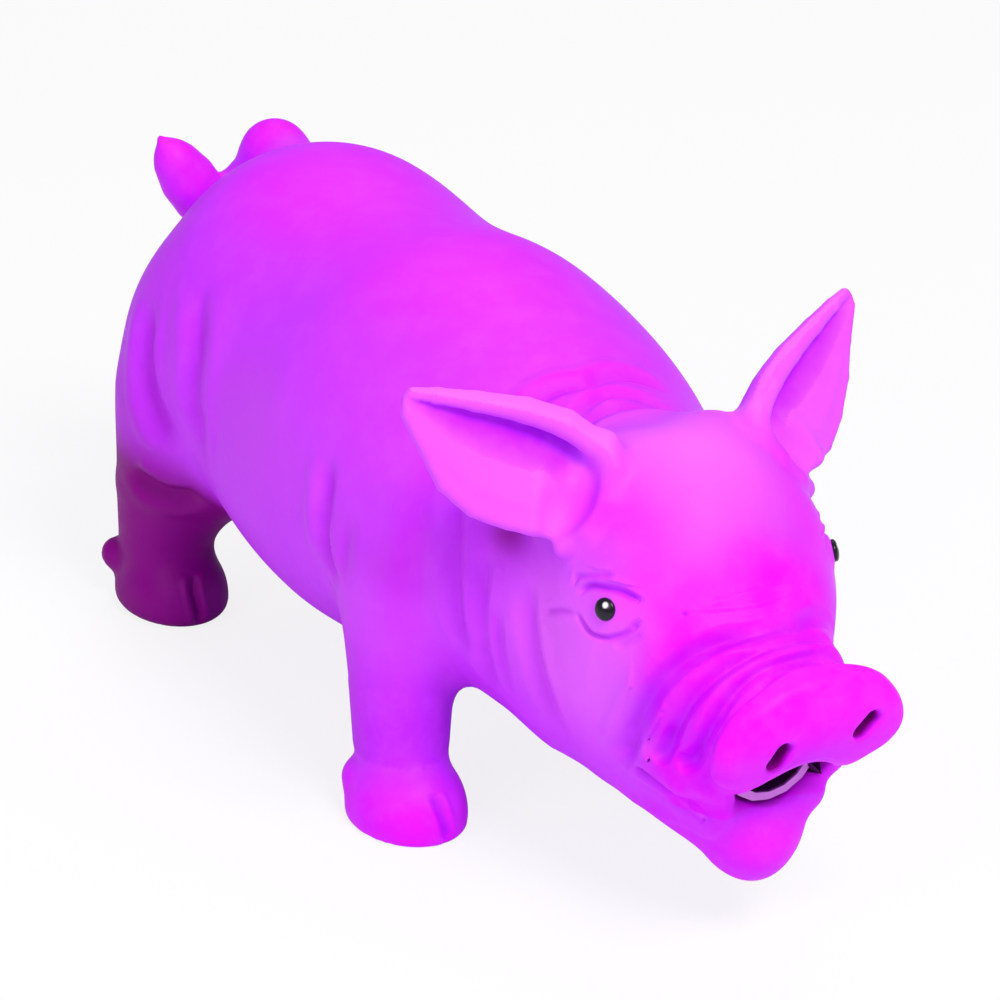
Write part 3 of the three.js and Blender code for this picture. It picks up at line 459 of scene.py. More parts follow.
def ear_form(points):
    folded = mirrored(points)
    placed = (folded - ear_root) @ ear_axes
    fuller = np.where(placed[..., 1] > 0, 1.23, np.interp(placed[..., 0], (8, 28), (0.97, 1.45)))
    placed[..., 1] *= np.where(points[..., 0] > 0, fuller, 1)
    placed[..., 0] *= np.where(points[..., 0] > 0, 0.985, 1)
    along, across, facing = placed[..., 0], placed[..., 1], placed[..., 2]
    edge = outline_distance(placed[..., :2], np.concatenate([ear_upper_edge, ear_lower_edge]))
    upper = np.interp(along, ear_upper_edge[:, 0], ear_upper_edge[:, 1])
    lower = np.interp(along, ear_lower_edge[::-1, 0], ear_lower_edge[::-1, 1])
    share = np.clip((across - lower) / np.maximum(upper - lower, 0.5), 0, 1)
    cup = np.interp(along, (4, 36), (1, 0.35))
    middle = cup * np.interp(share, (0, 0.22, 0.45, 0.66, 0.84, 1), (0.3, 0.8, -0.2, -2.7, -3.4, 0.4))
    leaf = np.abs(facing - middle) * 0.92 - np.interp(along, (-8, 0, 20, 36), (2.4, 1.7, 1.25, 0.9))
    leaf = -blended(-leaf, -edge, 1.6)
    rim_line = [(-4, 7.4, 1.8), (0.7, 9.2, 1.7), (7, 9.8, 1.5), (14.8, 8.5, 1.3), (23.7, 5.6, 1),
                (30.6, 3.1, 0.7), (35, 1.2, 0.4)]
    rim = limb(placed, rim_line, [2.3, 2.5, 2.5, 2.3, 1.8, 1.4, 1.0], 0.8)
    form = blended(leaf, rim, 1.4)
    lower_line = [(-0.4, -8.6, 0.6), (7.6, -10.9, 0.4), (14.5, -12, 0.3), (21.7, -10.6, 0.3), (27.5, -6.6, 0.3),
                  (34, -2.4, 0.2)]
    form = blended(form, limb(placed, lower_line, [1.3, 1.25, 1.2, 1.15, 1.1, 1.0], 0.6), 1.2)
    ring_line = [(-1.5, 10.4, 2.2), (-4.2, 6.6, 3.8), (-5.6, 0.6, 4.6), (-5.2, -6, 4.2), (-3.4, -10.5, 2.4)]
    ring = limb(placed, ring_line, [2.0, 2.1, 2.1, 2.1, 1.8], 1)
    form = blended(form, ring, 2.4)
    fold = limb(placed, [(6.5, 0.5, -0.6), (5, -4.7, 0.4), (3.6, -9.6, 2.0)], [0.9, 1.3, 1.1], 1)
    return blended(form, fold, 2.2)


def ear_hollow(points):
    folded = mirrored(points)
    placed = (folded - ear_root) @ ear_axes
    return ellipsoid(placed, (0.6, -2.2, 4.6), (4.4, 6.8, 3.6))


# The casting: all the forms run together into one skin, meshed on a fine grid,
# drawn tight to the surface, then creased and parted where the skin's pieces join.
cell = 1.05
grid_low = np.array((-55.0, -119.0, -3.0))
grid_high = np.array((55.0, 120.0, 110.0))


def in_box(points, form, low, high, change):
    inside = np.all((points > np.array(low)) & (points < np.array(high)), axis=-1)
    if inside.any():
        form[inside] = change(points[inside], form[inside])
    return form


def skin_form(points):
    form = trunk_form(points)
    form = in_box(points, form, (-60, -125, -10), (60, -20, 110),
                  lambda near, body: blended(body, full_head(near), 8))
    form = in_box(points, form, (-60, -60, -10), (60, 30, 80),
                  lambda near, body: blended(body, front_leg_form(near), 6))
    form = in_box(points, form, (-60, 40, -10), (60, 125, 100),
                  lambda near, body: blended(body, rear_leg_form(near), 7))
    form = in_box(points, form, (-30, 85, 68), (24, 125, 110),
                  lambda near, body: blended(body, tail_form(near), 2.5))
    for low, high in (((8, -85, 60), (60, -35, 115)), ((-60, -85, 60), (-8, -35, 115))):
        form = in_box(points, form, low, high,
                      lambda near, body: -blended(-blended(body, ear_form(near), 3), ear_hollow(near), 1.5))
    return form


def full_head(points):
    head = blended(head_form(points), snout_form(points), 12)
    head = blended(head, upper_lip_form(points), 4)
    head = -blended(-head, mouth_space(points), 1.2)
    lips = np.clip((points[..., 1] + 92) / 10, 0, 1)
    head = blended(head, jaw_form(points), 1.5 + 6.5 * lips)
    head = blended(head, mouth_corner_form(points), 5)
    head = -blended(-head, tube_space(points), 0.8)
    return -blended(-head, nostril_space(points), 0.8)


def grid_surface(form, low, step):
    inside = form < 0
    cells = tuple(n - 1 for n in form.shape)
    total = np.zeros(cells + (3,), np.float32)
    count = np.zeros(cells, np.float32)
    for axis in range(3):
        first, second = [slice(None)] * 3, [slice(None)] * 3
        first[axis], second[axis] = slice(0, -1), slice(1, None)
        before, after = form[tuple(first)], form[tuple(second)]
        crossed = inside[tuple(first)] != inside[tuple(second)]
        share = np.where(crossed, before / np.where(crossed, before - after, 1), 0)
        others = [n for n in range(3) if n != axis]
        for a in (0, 1):
            for b in (0, 1):
                pick = [None] * 3
                pick[axis] = slice(0, form.shape[axis] - 1)
                pick[others[0]] = slice(a, form.shape[others[0]] - 1 + a)
                pick[others[1]] = slice(b, form.shape[others[1]] - 1 + b)
                here = crossed[tuple(pick)]
                total[..., axis] += np.where(here, share[tuple(pick)], 0)
                total[..., others[0]] += np.where(here, a, 0)
                total[..., others[1]] += np.where(here, b, 0)
                count += here
    active = count > 0
    number = -np.ones(active.shape, np.int64)
    number[active] = np.arange(active.sum())
    corners = (np.argwhere(active) + total[active] / count[active][:, None]) * step + np.array(low)
    quads = []
    for axis in range(3):
        others = [n for n in range(3) if n != axis]
        first, second = [slice(1, -1)] * 3, [slice(1, -1)] * 3
        first[axis], second[axis] = slice(0, -1), slice(1, None)
        before, after = inside[tuple(first)], inside[tuple(second)]
        places = np.argwhere(before != after)
        leaving = before[before != after]
        for n in others:
            places[:, n] += 1
        u, v = np.zeros(3, int), np.zeros(3, int)
        u[others[0]], v[others[1]] = 1, 1
        ring = [number[tuple(at.T)] for at in (places - u - v, places - v, places, places - u)]
        quad = np.stack(ring, 1)
        forwards = leaving if axis != 1 else ~leaving
        quads.append(np.where(forwards[:, None], quad, quad[:, ::-1]))
    return corners, np.concatenate(quads)


def grid_form(form, low, high, step):
    axes = [np.arange(low[n], high[n] + step, step, dtype=np.float32) for n in range(3)]
    values = np.empty([len(axis) for axis in axes], np.float32)
    slab = 24
    for start in range(0, len(axes[0]), slab):
        block = np.stack(np.meshgrid(axes[0][start:start + slab], axes[1], axes[2], indexing="ij"), -1)
        values[start:start + slab] = form(block)
    return values


def slope_of(form, points, step=0.05):
    slopes = np.empty_like(points)
    for axis in range(3):
        offset = np.zeros(3)
        offset[axis] = step
        slopes[:, axis] = (form(points + offset) - form(points - offset)) / (2 * step)
    return slopes


def drawn_to(form, points, rounds=2):
    for _ in range(rounds):
        slopes = slope_of(form, points)
        size = np.maximum((slopes ** 2).sum(1), 0.05)
        step = form(points) / size
        step = np.clip(step, -1.2, 1.2)
        points = points - slopes * step[:, None]
    return points


def relaxed(points, quads, share=0.5):
    total = np.zeros_like(points)
    count = np.zeros(len(points))
    for a, b in ((0, 1), (1, 2), (2, 3), (3, 0)):
        np.add.at(total, quads[:, a], points[quads[:, b]])
        np.add.at(total, quads[:, b], points[quads[:, a]])
        np.add.at(count, quads[:, a], 1)
        np.add.at(count, quads[:, b], 1)
    return points + (total / count[:, None] - points) * share


skin_points, skin_quads = grid_surface(grid_form(skin_form, grid_low, grid_high, cell), grid_low, cell)
skin_points = drawn_to(skin_form, relaxed(skin_points, skin_quads))
skin_points = drawn_to(skin_form, relaxed(skin_points, skin_quads, 0.4))


def split_sides(points, quads):
    # every chosen quad gets a new corner in the middle of each side
    sides = np.sort(np.stack([quads[:, [n, (n + 1) % 4]] for n in range(4)], 1), -1)
    keys = sides[..., 0] * len(points) + sides[..., 1]
    unique, place = np.unique(keys, return_inverse=True)
    middles = points[np.stack([unique // len(points), unique % len(points)], 1)].mean(1)
    return unique, place.reshape(keys.shape), middles


def refined(points, quads, wanted):
    # the wanted quads become four each; their neighbours take the new corners into their own sides
    unique, place, middles = split_sides(points, quads[wanted])
    centres = points[quads[wanted]].mean(1)
    side = len(points) + place
    centre = len(points) + len(middles) + np.arange(len(centres))
    chosen = quads[wanted]
    fine = np.concatenate([np.stack([chosen[:, n], side[:, n], centre, side[:, n - 1]], 1) for n in range(4)])
    rest = quads[~wanted]
    ends = np.sort(np.stack([rest[:, [n, (n + 1) % 4]] for n in range(4)], 1), -1)
    keys = ends[..., 0] * len(points) + ends[..., 1]
    found = np.clip(np.searchsorted(unique, keys), 0, len(unique) - 1)
    shared = unique[found] == keys
    border = shared.any(1)
    many_sided = []
    for face, met, at in zip(rest[border], shared[border], found[border]):
        corners = []
        for n in range(4):
            corners.append(int(face[n]))
            if met[n]:
                corners.append(int(len(points) + at[n]))
        many_sided.append(corners)
    return np.concatenate([points, middles, centres]), rest[~border], many_sided, fine


def near_any(points, spots):
    close = np.zeros(len(points), bool)
    for centre, reach in spots:
        close |= np.linalg.norm(mirrored(points) - np.array(centre), axis=1) < reach
    return close


fine_spots = [((24, -78, 67), 12), ((13, -90, 34), 10), ((9.3, -111, 48.5), 9), ((6, -104, 38), 12),
              ((33.2, -35, 6), 9), ((29.8, 74, 6), 9), ((15, -91, 69.3), 2.5)]
hoof_spots = [((33.2, -35, 6), 10), ((29.8, 74, 6), 10)]

middle_of_quads = skin_points[skin_quads].mean(1)
on_head = (middle_of_quads[:, 1] < -30) & (middle_of_quads[:, 1] < -48 + 0.45 * (middle_of_quads[:, 2] - 60))
on_head |= (middle_of_quads[:, 2] > 80) & (middle_of_quads[:, 1] < -26)
on_head |= near_any(middle_of_quads, hoof_spots)
skin_points, plain_quads, many_sided_a, head_quads = refined(skin_points, skin_quads, on_head)
middle_of_quads = skin_points[head_quads].mean(1)
skin_points, head_quads, many_sided_b, fine_quads = refined(
    skin_points, head_quads, near_any(middle_of_quads, fine_spots))
skin_points = drawn_to(skin_form, skin_points, 2)
skin_faces = plain_quads.tolist() + many_sided_a + head_quads.tolist() + many_sided_b + fine_quads.tolist()


def pressed_in(points):
    # how far each point of the skin sinks, from its distance to every crease, and how much shade is painted on it
    total = np.zeros(len(points))
    dark = np.zeros(len(points))
    folded = points.copy()
    folded[:, 0] = -np.abs(folded[:, 0])
    for depth, width, fade, shading, line in creases:
        path = drawn_to(skin_form, smooth_line(line), 3)
        run = np.concatenate([[0], np.cumsum(np.linalg.norm(np.diff(path, axis=0), axis=1))])
        fading = np.clip(np.minimum(run + 0.2, run[-1] - run + 0.2) / fade, 0, 1)
        fading = fading * fading * (3 - 2 * fading)
        reach = 3 * width
        near = np.where(np.all((folded > path.min(0) - reach) & (folded < path.max(0) + reach), axis=1))[0]
        if not len(near):
            continue
        apart = np.linalg.norm(folded[near][:, None] - path[None], axis=2)
        closest = apart.argmin(1)
        apart = apart[np.arange(len(near)), closest]
        groove = np.exp(-(apart / width) ** 1.7) - 0.35 * np.exp(-((apart - 2.1 * width) / (0.9 * width)) ** 2)
        kept = np.maximum(total[near], 0) if depth > 0 else total[near]
        total[near] = kept + depth * fading[closest] * groove
        dark[near] += shading * fading[closest] * np.exp(-(apart / (0.95 * width)) ** 2)
    return total, dark


skin_slopes = slope_of(skin_form, skin_points)
skin_slopes /= np.linalg.norm(skin_slopes, axis=1)[:, None]
sunk, crease_shading = pressed_in(skin_points)
skin_rest = skin_points.copy()
skin_points = skin_points - skin_slopes * sunk[:, None]


def whole_mesh_normals(points, faces):
    mesh = bpy.data.meshes.new("casting")
    mesh.from_pydata(points.tolist(), [], faces)
    mesh.update()
    normals = np.empty(len(points) * 3)
    mesh.vertex_normals.foreach_get("vector", normals)
    bpy.data.meshes.remove(mesh)
    return normals.reshape(-1, 3)


skin_normals = whole_mesh_normals(skin_points, skin_faces)


# Where the pieces of the skin join: each piece's own side of a cut, above zero on that piece.
def neck_side(points):
    lean = math.radians(22)
    return -(points[:, 1] + 40) * math.cos(lean) + (points[:, 2] - 56) * math.sin(lean)


def snout_side(points):
    return -88.5 - points[:, 1]


def jaw_side(points):
    return np.minimum(34.5 - points[:, 2], -58 - points[:, 1])


def front_leg_side(points):
    out = np.abs(points[:, 0])
    return np.minimum(25.5 + 0.8 * (out - 20) - points[:, 2], 17.5 - np.abs(points[:, 1] + 18))


def rear_leg_side(points):
    out = np.abs(points[:, 0])
    return np.minimum(29 + 0.85 * (out - 18) - points[:, 2], 24 - np.abs(points[:, 1] - 87))


def ear_side(points):
    placed = (mirrored(points) - ear_root) @ ear_axes
    return np.minimum(placed[:, 0] + 4.5, 17 - np.hypot(placed[:, 1], 1.2 * placed[:, 2]))


def tail_side(points):
    return (points[:, 1] - 104.2) * 0.9 + (points[:, 2] - 86) * 0.25


def right(points):
    return points[:, 0] < 0


parts_of_skin = [
    ("ear_right", ear_side, lambda p: right(p) & (p[:, 1] < -40) & (p[:, 2] > 70)),
    ("ear_left", ear_side, lambda p: ~right(p) & (p[:, 1] < -40) & (p[:, 2] > 70)),
    ("tail", tail_side, lambda p: (p[:, 2] > 68) & (p[:, 1] > 96)),
    ("leg_front_right", front_leg_side, right),
    ("leg_front_left", front_leg_side, lambda p: ~right(p)),
    ("leg_rear_right", rear_leg_side, right),
    ("leg_rear_left", rear_leg_side, lambda p: ~right(p)),
    ("lower_jaw_skin", jaw_side, lambda p: p[:, 2] < 50),
    ("snout_skin", snout_side, lambda p: p[:, 2] > 0),
    ("head_skin", neck_side, lambda p: p[:, 2] > 0),
    ("torso_skin", lambda p: np.ones(len(p)), lambda p: p[:, 2] > -100),
]

face_sizes = np.array([len(face) for face in skin_faces])
face_corners = np.concatenate([np.array(face) for face in skin_faces])
face_starts = np.concatenate([[0], np.cumsum(face_sizes)[:-1]])
face_middles = np.add.reduceat(skin_rest[face_corners], face_starts) / face_sizes[:, None]
face_part = -np.ones(len(skin_faces), int)
for number, (name, side, limits) in enumerate(parts_of_skin):
    free = face_part < 0
    mine = (side(face_middles) > 0) & limits(face_middles)
    face_part[free & mine] = number

# The latex: coloured all through and airbrushed, satin, with the fine orange-peel of a plaster mould. Painted
# highlights and painted shade are laid over its tones by masks.


def new_group(name, inputs, outputs):
    group = bpy.data.node_groups.new(name, "ShaderNodeTree")
    for label, kind, value in inputs:
        socket = group.interface.new_socket(label, in_out="INPUT", socket_type=kind)
        if value is not None:
            socket.default_value = value
    for label, kind in outputs:
        group.interface.new_socket(label, in_out="OUTPUT", socket_type=kind)
    return group, group.nodes.new("NodeGroupInput"), group.nodes.new("NodeGroupOutput")


def node(tree, kind, settings=(), **values):
    made = tree.nodes.new(kind)
    for key, value in dict(settings).items():
        setattr(made, key, value)
    for key, value in values.items():
        made.inputs[key.replace("_", " ")].default_value = value
    return made


def mixed(tree, share, first, second):
    mix = tree.nodes.new("ShaderNodeMix")
    mix.data_type = "RGBA"
    tree.links.new(share, mix.inputs[0])
    for socket, value in ((mix.inputs[6], first), (mix.inputs[7], second)):
        if isinstance(value, tuple):
            socket.default_value = value
        else:
            tree.links.new(value, socket)
    return mix.outputs[2]


def scaled(tree, value, factor, offset=0.0):
    step = tree.nodes.new("ShaderNodeMath")
    step.operation = "MULTIPLY_ADD"
    step.use_clamp = True
    tree.links.new(value, step.inputs[0])
    step.inputs[1].default_value = factor
    step.inputs[2].default_value = offset
    return step.outputs[0]


def noise(tree, place, scale, detail=3.0, roughness=0.5):
    made = node(tree, "ShaderNodeTexNoise", Scale=scale, Detail=detail, Roughness=roughness)
    tree.links.new(place, made.inputs["Vector"])
    return made.outputs["Fac"]


latex_paint_and_light, group_in, group_out = new_group(
    "latex_airbrush_and_painted_light",
    [("Body", "NodeSocketColor", (0.6, 0.036, 1, 1)), ("Pale", "NodeSocketColor", (0.8, 0.115, 1, 1)),
     ("Hot", "NodeSocketColor", (0.78, 0.002, 1, 1)), ("Deep", "NodeSocketColor", (0.5, 0.006, 0.82, 1)),
     ("Dark", "NodeSocketColor", (0.25, 0.0002, 0.23, 1))],
    [("Color", "NodeSocketColor"), ("Roughness", "NodeSocketFloat"), ("Height", "NodeSocketFloat")])
place = latex_paint_and_light.nodes.new("ShaderNodeTexCoord").outputs["Object"]
mottle = noise(latex_paint_and_light, place, 160, 5, 0.65)
cloud = noise(latex_paint_and_light, place, 28, 3, 0.5)
tint = group_in.outputs["Body"]
# Over the body colour each mask lays its tone: pale is painted highlight, deep is painted shade, and dark is darker
# painted shade, which on the rear legs is partly the toy's own darker paint.
for label in ("pale", "hot", "deep", "dark"):
    if label == "dark":
        tint = mixed(latex_paint_and_light, scaled(latex_paint_and_light, mottle, 0.6, -0.26), tint, group_in.outputs["Pale"])
    mask = latex_paint_and_light.nodes.new("ShaderNodeAttribute")
    mask.attribute_name = label
    uneven = latex_paint_and_light.nodes.new("ShaderNodeMath")
    uneven.operation = "MULTIPLY"
    uneven.use_clamp = True
    latex_paint_and_light.links.new(mask.outputs["Fac"], uneven.inputs[0])
    latex_paint_and_light.links.new(scaled(latex_paint_and_light, cloud, 0.4, 0.8), uneven.inputs[1])
    tint = mixed(latex_paint_and_light, uneven.outputs[0], tint, group_in.outputs[label.capitalize()])
latex_paint_and_light.links.new(tint, group_out.inputs["Color"])
latex_paint_and_light.links.new(scaled(latex_paint_and_light, mottle, 0.3, 0.32), group_out.inputs["Roughness"])
peel = noise(latex_paint_and_light, place, 620, 3, 0.55)
latex_paint_and_light.links.new(peel, group_out.inputs["Height"])


def latex(name):
    material = bpy.data.materials.new(name)
    material.use_nodes = True
    tree = material.node_tree
    skin = tree.nodes["Principled BSDF"]
    paint = tree.nodes.new("ShaderNodeGroup")
    paint.name = "paint"
    paint.node_tree = latex_paint_and_light
    tree.links.new(paint.outputs["Color"], skin.inputs["Base Color"])
    tree.links.new(paint.outputs["Roughness"], skin.inputs["Roughness"])
    bump = node(tree, "ShaderNodeBump", Strength=0.12, Distance=0.0004)
    tree.links.new(paint.outputs["Height"], bump.inputs["Height"])
    tree.links.new(bump.outputs["Normal"], skin.inputs["Normal"])
    skin.inputs["Specular IOR Level"].default_value = 0.09
    return material


def spot(points, centre, reach):
    return np.exp(-(((mirrored(points) - np.array(centre)) / np.array(reach)) ** 2).sum(1))


def along_axis(points, axis, low, high):
    share = np.clip((points[:, axis] - low) / (high - low), 0, 1)
    return share * share * (3 - 2 * share)


def ear_place(points):
    placed = (mirrored(points) - ear_root) @ ear_axes
    upper = np.interp(placed[:, 0], ear_upper_edge[:, 0], ear_upper_edge[:, 1])
    lower = np.interp(placed[:, 0], ear_lower_edge[::-1, 0], ear_lower_edge[::-1, 1])
    share = (placed[:, 1] - lower) / np.maximum(upper - lower, 0.5)
    on_ear = np.clip((placed[:, 0] + 4) / 5, 0, 1) * (np.hypot(placed[:, 1], placed[:, 2]) < 17)
    return placed[:, 0], share, placed[:, 2], on_ear


def bell(value, middle, reach):
    return np.exp(-((value - middle) / reach) ** 2)


x, y, z = skin_points.T
out = np.abs(x)
run, share, front, on_ear = ear_place(skin_points)
recess = on_ear * (front < 1.2) * bell(share, 0.72, 0.2) * np.clip(run / 4, 0, 1) * np.clip((36 - run) / 6, 0, 1)
head = np.clip((-40 - y) / 8, 0, 1)
snout = along_axis(skin_points, 1, -86, -93) * (z > 30)
crease_painted_shade = np.clip(crease_shading, 0, 1)
# Painted highlights: paler on the forehead, cheeks, shoulders and flanks, over the ears and most of all on their
# rims, and along the raised lines under the snout and round the mouth.
painted_highlight_mask = (0.95 * spot(skin_points, (0, -71, 92), (17, 19, 13))
             + 1.3 * spot(skin_points, (25, -70, 56), (12, 19, 18))
             + 0.5 * spot(skin_points, (36, -20, 44), (12, 16, 18))
             + 0.25 * spot(skin_points, (41, 22, 68), (14, 34, 16))
             + on_ear * (0.5 + 0.5 * (share > 0.9)) * (1 - recess) + np.clip(-crease_shading, 0, 1))
painted_highlight_mask = painted_highlight_mask * (1 - snout)
hot_mask = (0.95 * snout + 0.9 * along_axis(skin_points, 2, 17, 5)
            + 0.95 * spot(skin_points, (6, -35, 96), (22, 9, 9))
            + 0.9 * spot(skin_points, (0, -90, 22), (22, 22, 13))
            + 0.6 * spot(skin_points, (17, -84, 72), (7, 6, 7)) + 0.55 * spot(skin_points, (19, -72, 83), (7, 14, 6))
            + 0.5 * along_axis(skin_points, 2, 90, 102) * (y > -28)
            + 0.6 * (z > 74) * along_axis(skin_points, 1, 97, 102)
            + 0.5 * spot(skin_points, (39, -27, 60), (9, 5, 22)))
# Painted shade: in the creases, under the belly, low on the rump, in each ear's recess, under the snout's disc and
# low on the neck beside the jaw.
painted_shade_mask = (crease_painted_shade + 0.6 * along_axis(skin_points, 2, 50, 22) * (1 - head) * (z > 14)
             + 0.5 * along_axis(skin_points, 1, 84, 106) * along_axis(skin_points, 2, 84, 60) + 0.95 * recess
             + 0.5 * spot(skin_points, (0, -112, 43.5), (9, 4, 4))
             + 0.15 * spot(skin_points, (18, -64, 28), (14, 20, 9)))
# Darker painted shade: in the nostrils and the mouth, in the hollow behind each ear and along the deepest creases of
# the face; on the rear legs and haunches it is partly painted shade and partly the toy's own darker paint.
nostril_shade = np.clip((1.0 - nostril_space(skin_points)) / 0.9, 0, 1) * np.clip((y + 111.6) / 1.5, 0, 1)
mouth = np.clip((0.5 - tube_space(skin_points)) / 0.5, 0, 1) * (y > -103)
hind = along_axis(skin_points, 1, 60, 70)
shade_and_dark_paint_mask = (1.05 * hind * along_axis(skin_points, 2, 46, 29) * np.clip((out - 6) / 8, 0, 1)
             + 0.35 * hind * along_axis(skin_points, 2, 66, 40) * along_axis(skin_points, 1, 62, 82)
             + 0.8 * spot(skin_points, (26.8, -48, 71), (4, 5, 4)) + nostril_shade + 0.5 * mouth
             + 0.5 * np.clip(crease_shading - 0.6, 0, 1) * (y < -80))

LATEX = latex("latex")
# Inside the mouth no light reaches the casting, so the faces that close each piece there are near black.
LATEX_INSIDE = latex("latex_inside")
inside_colour = (0.1, 0.0005, 0.12, 1)
for label in ("Body", "Pale", "Hot", "Deep", "Dark"):
    LATEX_INSIDE.node_tree.nodes["paint"].inputs[label].default_value = inside_colour


def shifted(points):
    return (points + drawing_shift) * mm


def make_part(number, name):
    mine = np.where(face_part == number)[0]
    faces = [skin_faces[n] for n in mine]
    used = np.unique(np.concatenate([np.array(face) for face in faces]))
    renumber = np.full(len(skin_points), -1)
    renumber[used] = np.arange(len(used))
    faces = [[int(renumber[corner]) for corner in face] for face in faces]
    corners = skin_points[used]
    sides = {}
    for face in faces:
        for a, b in zip(face, face[1:] + face[:1]):
            sides[(a, b)] = True
    following = {b: a for a, b in sides if (b, a) not in sides}
    extra, caps = [], []
    while following:
        start = next(iter(following))
        ring = [start]
        while following.get(ring[-1]) is not None and following[ring[-1]] != start:
            ring.append(following.pop(ring[-1]))
        following.pop(ring[-1], None)
        if len(ring) < 3:
            continue
        centre = len(corners) + len(extra)
        extra.append(corners[ring].mean(0))
        for a, b in zip(ring, ring[1:] + ring[:1]):
            caps.append([a, b, centre])
    all_points = np.concatenate([corners, np.array(extra).reshape(-1, 3)])
    mesh = bpy.data.meshes.new(name)
    mesh.from_pydata(shifted(all_points).tolist(), [], faces + caps)
    mesh.update()
    mesh.polygons.foreach_set("use_smooth", [True] * len(mesh.polygons))
    padded = np.zeros(len(extra))
    for label, mask in (("pale", painted_highlight_mask), ("hot", hot_mask), ("deep", painted_shade_mask), ("dark", shade_and_dark_paint_mask)):
        attribute = mesh.attributes.new(label, "FLOAT", "POINT")
        attribute.data.foreach_set("value", np.clip(np.concatenate([mask[used], padded]), 0, 1).astype(np.float32))
    loops = np.empty(len(mesh.loops), int)
    mesh.loops.foreach_get("vertex_index", loops)
    normals = np.concatenate([skin_normals[used], np.zeros((len(extra), 3))])[loops]
    cap_loops = sum(len(face) for face in faces)
    normals[cap_loops:] = 0
    mesh.normals_split_custom_set(normals.tolist())
    piece = bpy.data.objects.new("skin_" + name, mesh)
    bpy.context.collection.objects.link(piece)
    mesh.materials.append(LATEX)
    mesh.materials.append(LATEX_INSIDE)
    mesh.polygons.foreach_set("material_index", [0] * len(faces) + [1] * len(caps))
    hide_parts(name)
    return piece


skin_pieces = {}
for number, (name, side, limits) in enumerate(parts_of_skin):
    skin_pieces[name] = make_part(number, name)

# The ears and the tail are left in place on their own, after the far reach of each one's join is found; the rest
# join the pig.
tail_join = np.array((5.5, 104.2, 86))
tail_away = np.array((0, 0.9635, 0.2676))


def joined_corners(number):
    mine, others = [np.unique(np.concatenate([np.array(skin_faces[n]) for n in np.where(chosen)[0]]))
                    for chosen in (face_part == number, face_part != number)]
    return skin_points[np.intersect1d(mine, others)]


for number, (name, side, limits) in enumerate(parts_of_skin):
    piece = skin_pieces[name]
    if name in ("ear_left", "ear_right"):
        join = ear_place(joined_corners(number))[0].max() + 0.1
        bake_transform(piece)
    elif name == "tail":
        join = ((joined_corners(number) - tail_join) @ tail_away).max() + 0.1
        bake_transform(piece)
    else:
        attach(piece, "pig")

# The eyes: two glossy black dots of enamel, each with a painted white highlight, set between the lids.
# Each is a low dome let into the skin, which faces the way the skin does there.
eye_place = (25, -80.6, 68.4)
highlight_up = 0.95
highlight_across = 0.4
eye_radius = 2.15
eye_height = 0.8
eye_depth = 1.2
eye_sides = 48
eye_rings = 16

enamel = bpy.data.materials.new("eye_enamel")
enamel.use_nodes = True
tree = enamel.node_tree
gloss = tree.nodes["Principled BSDF"]
eye_highlight = tree.nodes.new("ShaderNodeAttribute")
eye_highlight.attribute_name = "eye_highlight"
place = tree.nodes.new("ShaderNodeTexCoord").outputs["Object"]
brushed = noise(tree, place, 900, 3, 0.5)
black = mixed(tree, brushed, (0.004, 0.003, 0.006, 1), (0.012, 0.01, 0.018, 1))
tree.links.new(mixed(tree, eye_highlight.outputs["Fac"], black, (0.9, 0.9, 0.92, 1)), gloss.inputs["Base Color"])
tree.links.new(scaled(tree, brushed, 0.15, 0.12), gloss.inputs["Roughness"])
gloss.inputs["Specular IOR Level"].default_value = 0.3

for name, side in (("eye_right", -1), ("eye_left", 1)):
    middle = drawn_to(skin_form, np.array([eye_place], float) * (side, 1, 1), 4)
    facing = slope_of(skin_form, middle)[0]
    facing /= np.linalg.norm(facing)
    middle = middle[0]
    across = np.cross(facing, (0, 0, 1))
    across /= np.linalg.norm(across)
    up = np.cross(across, facing)
    turn = np.arange(eye_sides) * 2 * math.pi / eye_sides
    spokes = np.cos(turn)[:, None] * across + np.sin(turn)[:, None] * up
    corners = [middle + facing * eye_height]
    for t in np.linspace(0, 1, eye_rings)[1:] * math.pi / 2:
        corners.extend(middle + spokes * eye_radius * math.sin(t) + facing * eye_height * math.cos(t))
    corners.extend(middle + spokes * eye_radius - facing * eye_depth)
    corners.append(middle - facing * eye_depth)
    faces = [(0, 1 + n, 1 + (n + 1) % eye_sides) for n in range(eye_sides)]
    for ring in range(eye_rings - 1):
        first = 1 + ring * eye_sides
        for n in range(eye_sides):
            after = (n + 1) % eye_sides
            faces.append((first + n, first + n + eye_sides, first + after + eye_sides, first + after))
    last = len(corners) - 1
    foot = last - eye_sides
    faces.extend((last, foot + (n + 1) % eye_sides, foot + n) for n in range(eye_sides))
    corners = np.array(corners)
    mesh = bpy.data.meshes.new(name)
    mesh.from_pydata(shifted(corners).tolist(), [], faces)
    mesh.update()
    mesh.polygons.foreach_set("use_smooth", [True] * len(mesh.polygons))
    # The painted highlight: a small white spot high on each dome, where the lamps' highlight falls.
    highlight_at = middle + facing * eye_height * 0.85 + up * highlight_up + across * highlight_across * side
    apart = np.linalg.norm(corners - highlight_at, axis=1)
    attribute = mesh.attributes.new("eye_highlight", "FLOAT", "POINT")
    attribute.data.foreach_set("value", np.clip((0.7 - apart) / 0.3, 0, 1).astype(np.float32))
    mesh.materials.append(enamel)
    piece = bpy.data.objects.new("dot_" + name, mesh)
    bpy.context.collection.objects.link(piece)
    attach(piece, "pig")
    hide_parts(name)

# The filling: two wads of bonded polyester fibre, pushed into the body and the head through the
# open mouth. They fill the skin to its inner face and leave a pocket round the voice tube.
skin_thickness = 3.6
wad_step = 2.4
pocket_radius = 12.5

